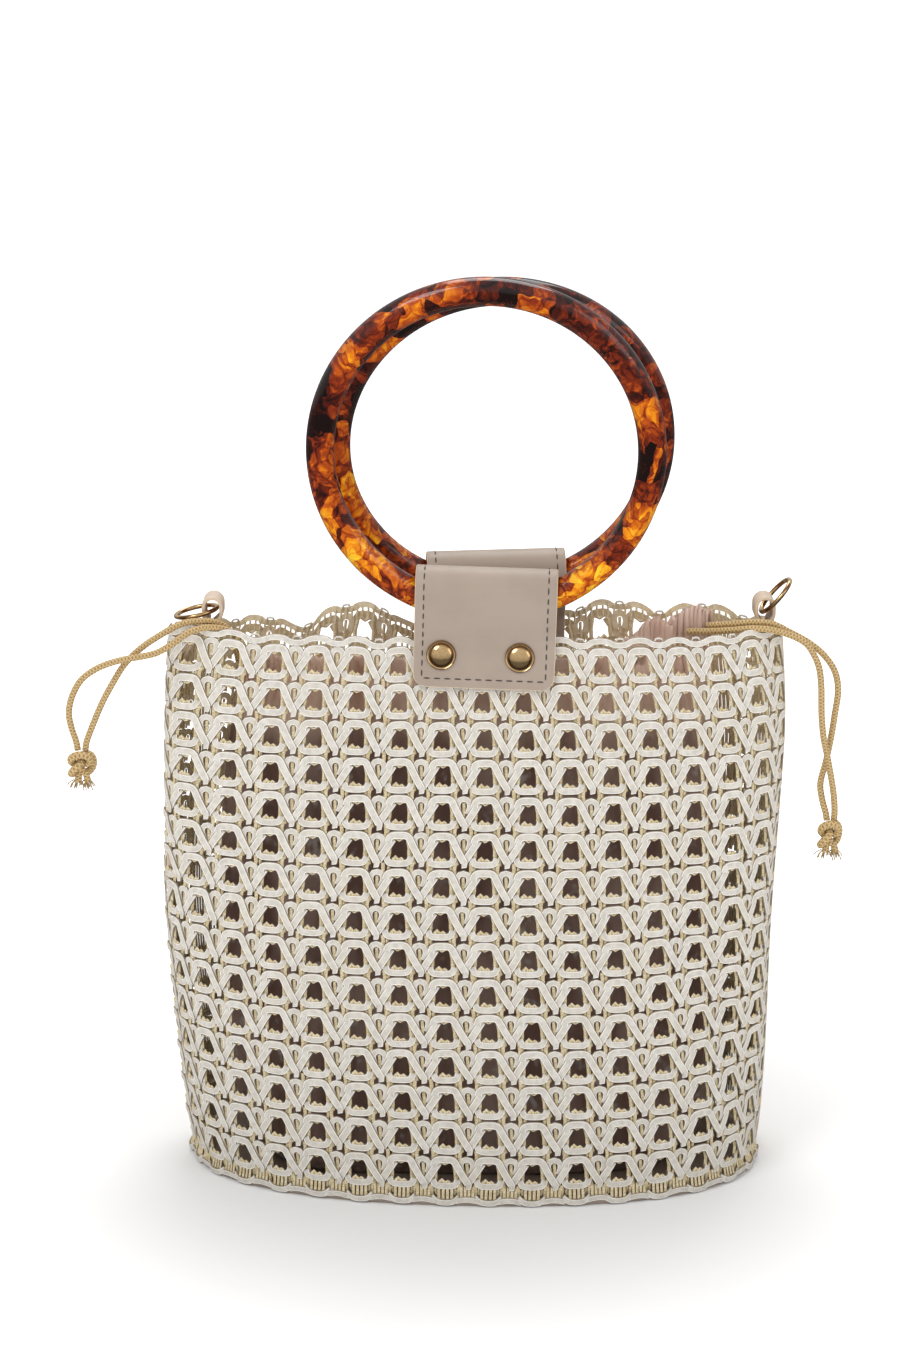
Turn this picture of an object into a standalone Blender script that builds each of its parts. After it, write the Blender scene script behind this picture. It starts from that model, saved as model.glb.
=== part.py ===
"""Straw handbag with two resin ring handles, leather trim and a drawstring pouch inside.

The bag stands on the floor, its base centre at the origin, its front towards -Y. Lengths are in metres.
The walls follow one body surface, given by a height share and a distance along the outline of that height.
"""

import math
from functools import lru_cache

import bmesh
import bpy
import numpy as np
from mathutils import Matrix, Vector

CLEARANCE = 0.0003

# Woven body
BAG_HEIGHT = 0.240
BAG_HALF_WIDTH = 0.132
BASE_HALF_DEPTH = 0.065
WEAVE_THICKNESS = 0.0025
GAP_COLUMNS = 8
GAP_ROWS = 7
GAP_WIDTH_SHARE = 0.42
GAP_HEIGHT_SHARE = 0.42
GAP_FIELD_BOTTOM = 0.012
GAP_FIELD_TOP = BAG_HEIGHT - 0.028
FRONT_TURN = math.radians(-2.2)
BACK_TURN = math.radians(2.9)
SEAM_LEAD = 0.0002
PINCH_REACH = 0.011
LEFT_PINCH = 0.010
RIGHT_PINCH = 0.005

# Leather base and side strips
BASE_THICKNESS = 0.0025
BASE_LIP = 0.0008
STRIP_WIDTH = 0.014
STRIP_GAP = 0.0008

# Ring handles and their tabs
RING_RADIUS = 0.069
RING_TUBE = 0.006
FRONT_RING_RISE = 0.0123
BACK_RING_RISE = 0.0121
FRONT_RING_FOOT = (0.0048, -0.0190, BAG_HEIGHT + FRONT_RING_RISE)
FRONT_RING_LEAN = math.radians(7.6)
BACK_RING_FOOT = (0.0094, 0.0190, BAG_HEIGHT + BACK_RING_RISE)
BACK_RING_LEAN = math.radians(13.8)
TAB_WIDTH = 0.060
TAB_THICKNESS = 0.0022
TAB_DROP = 0.0325
TAB_CORNER = 0.006
TAB_FOLD_RISE = 0.0093
TAB_RING_CLEARANCE = 0.0007
TAB_WALL_CLEARANCE = 0.0007
FRONT_TAB_ROLL = math.radians(1.6)
BACK_TAB_ROLL = math.radians(-1.0)

# Rivets
RIVET_SPACING = 0.0332
RIVET_SHIFT = -0.0016
RIVET_DROP = 0.0200
RIVET_RIM_RADIUS = 0.0062
RIVET_DOME_RADIUS = 0.0054
RIVET_DOME_HEIGHT = 0.0024
RIVET_POST_RADIUS = 0.0020
RIVET_CAP_RADIUS = 0.0042
RIVET_CAP_THICKNESS = 0.0010

# Leather loops with their strap rings
STRAP_RING_RADIUS = 0.009
STRAP_RING_WIRE = 0.001
LOOP_BAND_WIDTH = 0.013
LOOP_THICKNESS = 0.0016
LOOP_PIN_CLEARANCE = 0.0003
LOOP_LEG_DROP = 0.018
LOOP_BEND_DROP = 0.009
STRAP_RING_RISE = 0.008
LOOP_LEG_FOOT = BAG_HEIGHT - LOOP_LEG_DROP
LOOP_LEG_BEND = BAG_HEIGHT - LOOP_BEND_DROP
STRAP_RING_HEIGHT = BAG_HEIGHT + STRAP_RING_RISE
LEFT_LOOP_LEAN = 0.0115
RIGHT_LOOP_LEAN = 0.0020
LEFT_STRAP_RING_RISE = math.radians(-11.7)
RIGHT_STRAP_RING_RISE = math.radians(49.0)

# Drawstring pouch
POUCH_WALL = 0.0016
POUCH_FLOOR = BASE_THICKNESS + CLEARANCE
POUCH_DROP = 0.012
POUCH_HEIGHT = BAG_HEIGHT - POUCH_DROP
POUCH_HALF_WIDTH = 0.112
POUCH_HALF_DEPTH = 0.050
POUCH_RUFFLE_RISE = 0.019
POUCH_RUFFLE_PLACE = 0.80
POUCH_RUFFLE_REACH = 0.27
POUCH_SQUARENESS = 0.6

# Drawstrings
CORD_RADIUS = 0.00125
CORD_POINT_SPACING = 0.0071
KNOT_RADIUS = 0.0056
KNOT_HALF_HEIGHT = 0.0058
KNOT_EDGE = 0.0024

# Shares of the half width (left, right) and of the base half depth (front, back), with the squareness.
BODY_COLUMNS = ("height", "left", "right", "front", "back", "squareness")
BODY_SECTIONS = (
    (0.00, 0.930, 0.950, 1.000, 1.000, 2.35),
    (0.05, 0.952, 0.968, 0.990, 0.990, 2.40),
    (0.15, 0.975, 0.978, 0.950, 0.950, 2.45),
    (0.30, 1.002, 0.986, 0.880, 0.880, 2.50),
    (0.42, 1.020, 0.992, 0.815, 0.815, 2.50),
    (0.54, 1.034, 1.004, 0.740, 0.740, 2.50),
    (0.68, 1.036, 1.022, 0.635, 0.640, 2.55),
    (0.84, 1.046, 1.040, 0.500, 0.505, 2.70),
    (1.00, 1.052, 1.034, 0.346, 0.350, 3.00),
)

# How much of the side pinch is left at each height share.
PINCH_COLUMNS = ("height", "left", "right")
PINCH_SHARES = (
    (0.00, 0.00, 0.00),
    (0.30, 0.05, 0.10),
    (0.54, 0.18, 0.30),
    (0.75, 0.45, 0.55),
    (1.00, 1.00, 1.00),
)

# Dents of the walls: centre along the panel and in height, reach of each, slant, depth share of the base.
DENT_COLUMNS = ("along", "height", "along_reach", "height_reach", "slant", "depth")
FRONT_DENTS = (
    (0.13, 0.56, 0.09, 0.07, 0.30, 0.055),
    (0.84, 0.33, 0.05, 0.26, -0.35, 0.060),
)
BACK_DENTS = (
    (0.24, 0.50, 0.10, 0.10, 0.20, 0.050),
    (0.75, 0.40, 0.07, 0.20, -0.30, 0.050),
)

# Pouch: shares of its height, half width and half depth.
POUCH_COLUMNS = ("height", "width", "depth")
POUCH_SECTIONS = (
    (0.00, 0.80, 0.80),
    (0.05, 0.90, 0.92),
    (0.20, 0.98, 0.90),
    (0.50, 1.00, 0.70),
    (0.75, 0.98, 0.50),
    (0.88, 0.94, 0.36),
    (0.95, 0.91, 0.28),
    (1.00, 0.905, 0.27),
)

# Route points of the drawstrings, in metres.
LEFT_CORD_A = (
    (-0.1013, -0.0056, 0.2262),
    (-0.1019, -0.0057, 0.2295),
    (-0.1030, -0.0060, 0.2345),
    (-0.1052, -0.0071, 0.2399),
    (-0.1094, -0.0091, 0.2436),
    (-0.1155, -0.0116, 0.2451),
    (-0.1241, -0.0140, 0.2446),
    (-0.1329, -0.0158, 0.2404),
    (-0.1419, -0.0170, 0.2345),
    (-0.1490, -0.0180, 0.2276),
    (-0.1545, -0.0190, 0.2190),
    (-0.1590, -0.0200, 0.2107),
    (-0.1632, -0.0206, 0.2010),
    (-0.1656, -0.0210, 0.1947),
    (-0.1664, -0.0210, 0.1907),
)
LEFT_CORD_B = (
    (-0.0968, -0.0092, 0.2258),
    (-0.0977, -0.0096, 0.2300),
    (-0.0995, -0.0100, 0.2350),
    (-0.1030, -0.0107, 0.2395),
    (-0.1080, -0.0121, 0.2419),
    (-0.1145, -0.0142, 0.2428),
    (-0.1215, -0.0172, 0.2414),
    (-0.1285, -0.0196, 0.2368),
    (-0.1352, -0.0205, 0.2332),
    (-0.1417, -0.0212, 0.2318),
    (-0.1506, -0.0218, 0.2303),
    (-0.1595, -0.0222, 0.2273),
    (-0.1668, -0.0224, 0.2222),
    (-0.1710, -0.0224, 0.2152),
    (-0.1728, -0.0222, 0.2077),
    (-0.1720, -0.0218, 0.2010),
    (-0.1703, -0.0213, 0.1950),
    (-0.1696, -0.0210, 0.1907),
)
LEFT_KNOT_CENTRE = (-0.1680, -0.0210, 0.1846)
RIGHT_CORD_A = (
    (0.0994, -0.0075, 0.2420),
    (0.1080, -0.0115, 0.2436),
    (0.1186, -0.0143, 0.2450),
    (0.1265, -0.0152, 0.2447),
    (0.1346, -0.0158, 0.2409),
    (0.1420, -0.0160, 0.2368),
    (0.1488, -0.0163, 0.2312),
    (0.1537, -0.0163, 0.2238),
    (0.1552, -0.0163, 0.2154),
    (0.1542, -0.0160, 0.2052),
    (0.1530, -0.0152, 0.1949),
    (0.1512, -0.0140, 0.1834),
    (0.1492, -0.0136, 0.1739),
    (0.1501, -0.0141, 0.1665),
    (0.1517, -0.0150, 0.1608),
    (0.1522, -0.0155, 0.1576),
)
RIGHT_CORD_B = (
    (0.0906, -0.0110, 0.2405),
    (0.0990, -0.0124, 0.2407),
    (0.1085, -0.0150, 0.2418),
    (0.1183, -0.0176, 0.2432),
    (0.1262, -0.0186, 0.2428),
    (0.1343, -0.0192, 0.2405),
    (0.1405, -0.0198, 0.2372),
    (0.1440, -0.0202, 0.2323),
    (0.1464, -0.0206, 0.2264),
    (0.1475, -0.0206, 0.2181),
    (0.1480, -0.0204, 0.2061),
    (0.1492, -0.0198, 0.1958),
    (0.1512, -0.0188, 0.1871),
    (0.1536, -0.0176, 0.1756),
    (0.1549, -0.0166, 0.1678),
    (0.1554, -0.0159, 0.1618),
    (0.1553, -0.0155, 0.1576),
)
RIGHT_KNOT_CENTRE = (0.1538, -0.0155, 0.1515)

RIM_INSIDE = 0.9999


def clear_scene():
    for item in list(bpy.data.objects):
        bpy.data.objects.remove(item, do_unlink=True)


def material(name, colour, roughness, metallic=0.0):
    made = bpy.data.materials.get(name)
    if made is None:
        made = bpy.data.materials.new(name)
        made.use_nodes = True
        shader = made.node_tree.nodes["Principled BSDF"]
        shader.inputs["Base Color"].default_value = (*colour, 1.0)
        shader.inputs["Roughness"].default_value = roughness
        shader.inputs["Metallic"].default_value = metallic
        made.diffuse_color = (*colour, 1.0)
    return made


def add_object(name, mesh_builder, look, sharp=40.0):
    """Turns a bmesh into a named object with outward faces and smooth shading."""
    bmesh.ops.recalc_face_normals(mesh_builder, faces=mesh_builder.faces)
    mesh = bpy.data.meshes.new(name)
    mesh_builder.to_mesh(mesh)
    mesh_builder.free()
    mesh.shade_smooth()
    mesh.set_sharp_from_angle(angle=math.radians(sharp))
    mesh.materials.append(look)
    made = bpy.data.objects.new(name, mesh)
    bpy.context.scene.collection.objects.link(made)
    return made


def table_value(rows, columns, name, share):
    """Reads a table's column at a height share along a smooth curve through its rows."""
    place = columns.index(name)
    heights = [row[0] for row in rows]
    values = [row[place] for row in rows]
    step = int(np.clip(np.searchsorted(heights, share, side="right") - 1, 0, len(rows) - 2))
    low, high = max(step - 1, 0), min(step + 2, len(rows) - 1)
    span = heights[step + 1] - heights[step]
    t = (share - heights[step]) / span
    slope_a = (values[step + 1] - values[low]) / (heights[step + 1] - heights[low]) * span
    slope_b = (values[high] - values[step]) / (heights[high] - heights[step]) * span
    return (
        (2 * t**3 - 3 * t**2 + 1) * values[step]
        + (t**3 - 2 * t**2 + t) * slope_a
        + (3 * t**2 - 2 * t**3) * values[step + 1]
        + (t**3 - t**2) * slope_b
    )


def body_value(name, share):
    return table_value(BODY_SECTIONS, BODY_COLUMNS, name, share)


def outline_point(share, angle):
    """A point of the weave's outer face; angle 0 is the right seam, a quarter turn the back's middle."""
    power = 2 / body_value("squareness", share)
    cosine, sine = math.cos(angle), math.sin(angle)
    across = math.copysign(abs(cosine) ** power, cosine)
    along = math.copysign(abs(sine) ** power, sine)
    side = "right" if cosine > 0 else "left"
    wall = "back" if sine > 0 else "front"
    half_width = BAG_HALF_WIDTH * body_value(side, share)
    half_depth = BASE_HALF_DEPTH * body_value(wall, share)
    x = half_width * across
    y = half_depth * along
    turn = BACK_TURN if sine > 0 else FRONT_TURN
    pinch = RIGHT_PINCH if cosine > 0 else LEFT_PINCH
    pinch *= table_value(PINCH_SHARES, PINCH_COLUMNS, side, share)
    x -= math.copysign(pinch * math.exp(-((y / PINCH_REACH) ** 2)), cosine)
    y += abs(along) * x * math.tan(turn) - SEAM_LEAD * (1 - abs(along)) * across
    return x, y


@lru_cache(maxsize=None)
def outline(share):
    """Points, outward normals and running length from the left seam, by way of the front, to itself."""
    count = 720
    angles = math.pi + np.arange(count + 1) * (2 * math.pi / count)
    points = np.array([outline_point(share, angle) for angle in angles])
    points[-1] = points[0]
    steps = np.linalg.norm(np.diff(points, axis=0), axis=1)
    length = np.concatenate([[0.0], np.cumsum(steps)])
    ahead = np.roll(points[:-1], -4, axis=0) - np.roll(points[:-1], 4, axis=0)
    normals = np.column_stack([ahead[:, 1], -ahead[:, 0]])
    normals /= np.linalg.norm(normals, axis=1)[:, None]
    normals = np.vstack([normals, normals[:1]])
    return points, normals, length, length[count // 2]


def dent_depth(dents, along, share):
    total = 0.0
    for centre, height, along_reach, height_reach, slant, depth in dents:
        rise = (share - height) / height_reach
        run = (along - centre - slant * (share - height)) / along_reach
        total += depth * BASE_HALF_DEPTH * math.exp(-(run * run) - rise * rise)
    return total


def body_point(share, distance, inset):
    """The body surface at a height share, a distance along the outline, set in along its normal."""
    points, normals, length, middle = outline(share)
    total = length[-1]
    run = distance % total
    x, y = (np.interp(run, length, points[:, k]) for k in range(2))
    nx, ny = (np.interp(run, length, normals[:, k]) for k in range(2))
    if run < middle:
        inset += dent_depth(FRONT_DENTS, run / middle, share)
    else:
        inset += dent_depth(BACK_DENTS, (run - middle) / (total - middle), share)
    scale = inset / math.hypot(nx, ny)
    return Vector((x - nx * scale, y - ny * scale, share * BAG_HEIGHT))


def seam_distance(share, side):
    return outline(share)[3] if side == "right" else 0.0


def panel_span(share, wall):
    """Where a woven panel starts and ends along the outline, clear of the side strips."""
    _, _, length, middle = outline(share)
    edge = STRIP_WIDTH / 2 + STRIP_GAP
    if wall == "front":
        return edge, middle - edge
    return middle + edge, length[-1] - edge


def wall_across(share, x, wall):
    """Y of the weave's outer face at this x on the front or the back."""
    points, _, length, middle = outline(share)
    keep = (length < middle) if wall == "front" else (length > middle)
    found = points[keep]
    found = found[np.argsort(found[:, 0])]
    return float(np.interp(x, found[:, 0], found[:, 1]))


def loft(builder, rings, closed_ring=True, caps=True):
    """Skins rows of points, each row a closed loop, and caps both ends."""
    rows = [[builder.verts.new(point) for point in ring] for ring in rings]
    count = len(rows[0])
    last = count if closed_ring else count - 1
    for lower, upper in zip(rows[:-1], rows[1:]):
        for k in range(last):
            builder.faces.new((lower[k], lower[(k + 1) % count], upper[(k + 1) % count], upper[k]))
    if caps:
        builder.faces.new(rows[0][::-1])
        builder.faces.new(rows[-1])
    return rows


def pattern_lines(start, end, count, open_share):
    """Grid lines across a field: both edges of each gap, True where the gap lies just before."""
    pitch = (end - start) / count
    lines = []
    for number in range(count):
        middle = start + pitch * (number + 0.5)
        half = pitch * open_share / 2
        lines.append((middle - half, False))
        lines.append((middle + half, True))
    return lines


def wall_heights():
    """Height shares of the walls' rows of points; True where a gap lies just below."""
    bottom = (BASE_THICKNESS + CLEARANCE) / BAG_HEIGHT
    field_bottom = GAP_FIELD_BOTTOM / BAG_HEIGHT
    field_top = GAP_FIELD_TOP / BAG_HEIGHT
    heights = [(bottom, False)]
    pitch = (field_top - field_bottom) / GAP_ROWS
    for row in range(GAP_ROWS):
        middle = field_bottom + pitch * (row + 0.5)
        half = pitch * GAP_HEIGHT_SHARE / 2
        heights += [(middle - half, False), (middle + half, True)]
    last = heights[-1][0]
    heights += [(last + (1.0 - last) * k / 3, False) for k in (1, 2, 3)]
    return heights


def woven_panel(name, wall, look):
    """One wall of the body, cut through by the coarse gaps of its net."""
    heights = wall_heights()
    columns = [(0.0, False)]
    for column, opened in pattern_lines(0.0, 1.0, GAP_COLUMNS, GAP_WIDTH_SHARE):
        columns.append((column, opened))
    columns.append((1.0, False))
    builder = bmesh.new()
    faces = []
    for inset in (0.0, WEAVE_THICKNESS):
        grid = []
        for share, _ in heights:
            start, end = panel_span(share, wall)
            row = [
                builder.verts.new(body_point(share, start + (end - start) * along, inset))
                for along, _ in columns
            ]
            grid.append(row)
        faces.append(grid)
    outer, inner = faces
    for j in range(1, len(heights)):
        for i in range(1, len(columns)):
            if heights[j][1] and columns[i][1]:
                continue
            for grid in (outer, inner):
                quad = (grid[j - 1][i - 1], grid[j - 1][i], grid[j][i], grid[j][i - 1])
                builder.faces.new(quad if grid is outer else quad[::-1])
    twin = {}
    for outer_row, inner_row in zip(outer, inner):
        for a, b in zip(outer_row, inner_row):
            twin[a] = b
    for edge in [edge for edge in builder.edges if edge.is_boundary]:
        a, b = edge.verts
        if a in twin and b in twin:
            builder.faces.new((a, b, twin[b], twin[a]))
    made = add_object(name, builder, look, sharp=50.0)
    return made


def base_panel(look):
    builder = bmesh.new()
    rings = []
    total = outline(0.0)[2][-1]
    for z in (0.0, BASE_THICKNESS):
        ring = []
        for k in range(60):
            point = body_point(0.0, total * k / 60, -BASE_LIP)
            ring.append((point.x, point.y, z))
        rings.append(ring)
    loft(builder, rings)
    made = add_object("base_panel", builder, look)
    bevel = made.modifiers.new("soft_edge", "BEVEL")
    bevel.width = BASE_THICKNESS * 0.2
    bevel.segments = 1
    bevel.limit_method = "ANGLE"
    return made


def side_strip(side, look):
    """Leather strip over the seam between the two panels."""
    rings = []
    for share, _ in wall_heights():
        seam = seam_distance(share, side)
        places = [seam + STRIP_WIDTH * (j / 6 - 0.5) for j in range(7)]
        outer = [body_point(share, place, 0.0) for place in places]
        inner = [body_point(share, place, WEAVE_THICKNESS) for place in reversed(places)]
        rings.append(outer + inner)
    builder = bmesh.new()
    loft(builder, rings)
    return add_object("side_strip_" + side, builder, look)


def ribbon(name, path, normals, thickness, half_widths, place, look):
    """A leather band of even thickness along a path in the plane across its width."""
    builder = bmesh.new()
    rings = []
    for (y, z), (ny, nz), half in zip(path, normals, half_widths):
        oy, oz = ny * thickness / 2, nz * thickness / 2
        corners = (
            Vector((-half, y + oy, z + oz)),
            Vector((half, y + oy, z + oz)),
            Vector((half, y - oy, z - oz)),
            Vector((-half, y - oy, z - oz)),
        )
        rings.append([place @ corner for corner in corners])
    loft(builder, rings)
    return add_object(name, builder, look, sharp=50.0)


def arc_path(centre, radius, start, end, count):
    angles = [start + (end - start) * k / (count - 1) for k in range(count)]
    return [(centre[0] + radius * math.cos(a), centre[1] + radius * math.sin(a)) for a in angles]


def path_normals(path):
    """Left-hand normals of a polyline, mitred so that the band keeps its thickness."""
    normals = []
    for k in range(len(path)):
        before = Vector(path[k]) - Vector(path[max(k - 1, 0)])
        after = Vector(path[min(k + 1, len(path) - 1)]) - Vector(path[k])
        before = before if before.length else after
        after = after if after.length else before
        before, after = before.normalized(), after.normalized()
        middle = (before + after).normalized()
        normal = Vector((-middle.y, middle.x))
        normals.append(tuple(normal / max(normal.dot(Vector((-before.y, before.x))), 0.5)))
    return normals


def softened(path, count=3):
    """Rounds the corners of a polyline by cutting them."""
    for _ in range(count):
        cut = [path[0]]
        for a, b in zip(path[:-1], path[1:]):
            cut.append((a[0] * 0.75 + b[0] * 0.25, a[1] * 0.75 + b[1] * 0.25))
            cut.append((a[0] * 0.25 + b[0] * 0.75, a[1] * 0.25 + b[1] * 0.75))
        cut.append(path[-1])
        path = cut
    return path


def tab_frame(wall):
    """The tab's own frame at the lowest point of its ring: x along the tab, y towards the mouth."""
    foot = FRONT_RING_FOOT if wall == "front" else BACK_RING_FOOT
    turn = FRONT_TURN if wall == "front" else BACK_TURN
    roll = FRONT_TAB_ROLL if wall == "front" else BACK_TAB_ROLL
    facing = 1.0 if wall == "front" else -1.0
    turned = Matrix.Rotation(turn, 4, "Z") @ Matrix.Rotation(roll, 4, "Y")
    return Matrix.Translation(foot) @ turned @ Matrix.Diagonal((1.0, facing, 1.0, 1.0))


def tab_legs(wall):
    """Offsets of the woven wall's middle from the ring's lowest point, at the rim and at the leg's foot."""
    foot = FRONT_RING_FOOT if wall == "front" else BACK_RING_FOOT
    facing = 1.0 if wall == "front" else -1.0
    places = []
    for z in (BAG_HEIGHT, foot[2] - TAB_DROP):
        share = min(z / BAG_HEIGHT, RIM_INSIDE)
        y = wall_across(share, foot[0], wall) + facing * WEAVE_THICKNESS / 2
        places.append(((y - foot[1]) * facing, z - foot[2]))
    return places


def leg_spread():
    return WEAVE_THICKNESS / 2 + TAB_WALL_CLEARANCE + TAB_THICKNESS / 2


def handle_tab(wall, look):
    """Leather band folded over the ring, both legs lying against the woven rim."""
    lean = -FRONT_RING_LEAN if wall == "front" else BACK_RING_LEAN
    up = Vector((math.sin(lean), math.cos(lean)))
    across = Vector((math.cos(lean), -math.sin(lean)))
    reach = RING_TUBE + TAB_RING_CLEARANCE + TAB_THICKNESS / 2
    fold = up * TAB_FOLD_RISE
    (rim_y, rim_z), (foot_y, foot_z) = tab_legs(wall)
    spread = leg_spread()
    half_tube = RING_TUBE / 2
    outer_side = -across * reach - up * half_tube * 0.6
    inner_side = across * reach - up * half_tube
    slope = (rim_y - foot_y) / (rim_z - foot_z)
    below = TAB_THICKNESS
    outer_leg = [
        (foot_y - spread, foot_z),
        (rim_y - spread - below * slope, rim_z - below),
        (rim_y - spread, rim_z + TAB_THICKNESS / 2),
        tuple(outer_side),
        tuple(fold - across * reach),
    ]
    inner_leg = [
        tuple(fold + across * reach),
        tuple(inner_side),
        (rim_y + spread, rim_z - CLEARANCE),
        (rim_y + spread - below * slope, rim_z - below),
        (foot_y + spread, foot_z),
    ]
    start = math.atan2(-across.y, -across.x)
    crown = arc_path(fold, reach, start, start - math.pi, 13)
    path = softened(outer_leg, 2) + crown[1:-1] + softened(inner_leg, 2)
    path = [point for k, point in enumerate(path) if k == 0 or math.dist(point, path[k - 1]) > 1e-5]
    travelled = [0.0]
    for a, b in zip(path[:-1], path[1:]):
        travelled.append(travelled[-1] + math.dist(a, b))
    stations, lengths = [], []
    corner_steps = [TAB_CORNER * (1 - math.cos(math.radians(a))) for a in (0, 25, 45, 65, 90)]
    wanted = corner_steps + [s for s in travelled if TAB_CORNER < s < travelled[-1] - TAB_CORNER]
    wanted += [travelled[-1] - step for step in reversed(corner_steps)]
    ys, zs = [p[0] for p in path], [p[1] for p in path]
    for s in wanted:
        stations.append((float(np.interp(s, travelled, ys)), float(np.interp(s, travelled, zs))))
        lengths.append(s)
    halves = []
    for s in lengths:
        edge = max(TAB_CORNER - min(s, travelled[-1] - s), 0.0)
        cut = TAB_CORNER - math.sqrt(max(TAB_CORNER**2 - edge**2, 0.0))
        halves.append(TAB_WIDTH / 2 - cut)
    normals = path_normals(stations)
    name = "handle_tab_" + wall
    return ribbon(name, stations, normals, TAB_THICKNESS, halves, tab_frame(wall), look)


def leg_slope(wall):
    """Angle of the legs from the vertical, outwards going down."""
    (rim_y, rim_z), (foot_y, foot_z) = tab_legs(wall)
    return math.atan2(rim_y - foot_y, rim_z - foot_z)


def rivet_frame(wall, side):
    """Frame of a rivet: z outwards along its post, origin in the middle of the woven wall."""
    (rim_y, rim_z), (foot_y, foot_z) = tab_legs(wall)
    share = (rim_z + RIVET_DROP) / (rim_z - foot_z)
    y = rim_y + (foot_y - rim_y) * share
    x = RIVET_SHIFT + RIVET_SPACING / 2 * (1 if side == "right" else -1)
    slope = leg_slope(wall)
    outward = Vector((0.0, -math.cos(slope), math.sin(slope)))
    sideways = Vector((1.0, 0.0, 0.0))
    third = outward.cross(sideways)
    local = Matrix.Identity(4)
    for column, axis in enumerate((sideways, third, outward)):
        for row in range(3):
            local[row][column] = axis[row]
    local.translation = Vector((x, y, -RIVET_DROP))
    return tab_frame(wall) @ local


def turned(builder, profile, steps, place):
    """A body of revolution about z from (radius, height) pairs that start and end on the axis."""
    rings = []
    for radius, height in profile[1:-1]:
        ring = [
            place @ Vector((radius * math.cos(a), radius * math.sin(a), height))
            for a in (2 * math.pi * k / steps for k in range(steps))
        ]
        rings.append([builder.verts.new(point) for point in ring])
    first = builder.verts.new(place @ Vector((0.0, 0.0, profile[0][1])))
    last = builder.verts.new(place @ Vector((0.0, 0.0, profile[-1][1])))
    for k in range(steps):
        j = (k + 1) % steps
        builder.faces.new((first, rings[0][j], rings[0][k]))
        builder.faces.new((last, rings[-1][k], rings[-1][j]))
        for lower, upper in zip(rings[:-1], rings[1:]):
            builder.faces.new((lower[k], lower[j], upper[j], upper[k]))


def rivet(wall, side, look):
    """Domed head outside the tab, post through leather and weave, flat cap inside the mouth."""
    seat = leg_spread() + TAB_THICKNESS / 2 + CLEARANCE
    rim = RIVET_DOME_HEIGHT * 0.3
    dome = [(RIVET_RIM_RADIUS, seat), (RIVET_RIM_RADIUS, seat + rim)]
    for k in range(5):
        angle = math.pi / 2 * k / 5
        height = seat + rim + (RIVET_DOME_HEIGHT - rim) * math.sin(angle)
        dome.append((RIVET_DOME_RADIUS * math.cos(angle), height))
    profile = [
        (0.0, -seat - RIVET_CAP_THICKNESS),
        (RIVET_CAP_RADIUS * 0.8, -seat - RIVET_CAP_THICKNESS),
        (RIVET_CAP_RADIUS, -seat - RIVET_CAP_THICKNESS * 0.5),
        (RIVET_CAP_RADIUS, -seat),
        (RIVET_POST_RADIUS, -seat),
        (RIVET_POST_RADIUS, seat),
        *dome,
        (0.0, seat + RIVET_DOME_HEIGHT),
    ]
    builder = bmesh.new()
    turned(builder, profile, 14, rivet_frame(wall, side))
    return add_object("rivet_" + wall + "_" + side, builder, look)


def rivet_cutter(wall, side):
    """Guide that opens the rivet's hole in leather and weave."""
    builder = bmesh.new()
    reach = 0.012
    radius = RIVET_POST_RADIUS + CLEARANCE
    profile = [(0.0, -reach), (radius, -reach), (radius, reach), (0.0, reach)]
    turned(builder, profile, 12, rivet_frame(wall, side))
    made = add_object("cutter_" + wall + "_" + side, builder, material("guide", (0.5, 0.5, 0.5), 0.5))
    made.hide_render = True
    made.display_type = "WIRE"
    return made


def cut(target, cutters):
    for cutter in cutters:
        hole = target.modifiers.new("hole", "BOOLEAN")
        hole.operation = "DIFFERENCE"
        hole.solver = "EXACT"
        hole.object = cutter


def ring_mesh(name, radius, tube, steps, sides, look):
    """A round ring in its own XZ plane, centred on its origin."""
    builder = bmesh.new()
    rows = []
    for k in range(steps):
        turn = 2 * math.pi * k / steps
        row = []
        for j in range(sides):
            angle = 2 * math.pi * j / sides
            out = radius + tube * math.cos(angle)
            row.append(
                builder.verts.new((out * math.sin(turn), tube * math.sin(angle), -out * math.cos(turn)))
            )
        rows.append(row)
    for k in range(steps):
        row, following = rows[k], rows[(k + 1) % steps]
        for j in range(sides):
            i = (j + 1) % sides
            builder.faces.new((row[j], following[j], following[i], row[i]))
    return add_object(name, builder, look)


def handle_ring(wall, look):
    """Resin ring through its tab; its origin and its local Y lie on its own axis."""
    foot = Vector(FRONT_RING_FOOT if wall == "front" else BACK_RING_FOOT)
    turn = FRONT_TURN if wall == "front" else BACK_TURN
    lean = FRONT_RING_LEAN if wall == "front" else BACK_RING_LEAN
    made = ring_mesh("handle_ring_" + wall, RING_RADIUS, RING_TUBE, 46, 9, look)
    tilt = Matrix.Rotation(turn, 4, "Z") @ Matrix.Rotation(lean, 4, "X")
    made.matrix_world = Matrix.Translation(foot) @ tilt @ Matrix.Translation((0.0, 0.0, RING_RADIUS))
    return made


def loop_pin(side):
    """Place of the strap ring's hinge line: inside the leather loop, leaning in from the seam."""
    share = RIM_INSIDE
    seam = body_point(share, seam_distance(share, side), WEAVE_THICKNESS)
    facing = 1.0 if side == "right" else -1.0
    lean = RIGHT_LOOP_LEAN if side == "right" else LEFT_LOOP_LEAN
    stand = CLEARANCE + 1.5 * LOOP_THICKNESS + lean
    return Vector((seam.x - facing * stand, seam.y, STRAP_RING_HEIGHT)), facing


def pin_reach():
    """Radius swept by the ring's wire inside the band, and the hinge line's distance from the centre."""
    half = LOOP_BAND_WIDTH / 2
    inner = math.sqrt((STRAP_RING_RADIUS - STRAP_RING_WIRE) ** 2 - half**2)
    outer = STRAP_RING_RADIUS + STRAP_RING_WIRE
    return (outer - inner) / 2, (outer + inner) / 2


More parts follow.
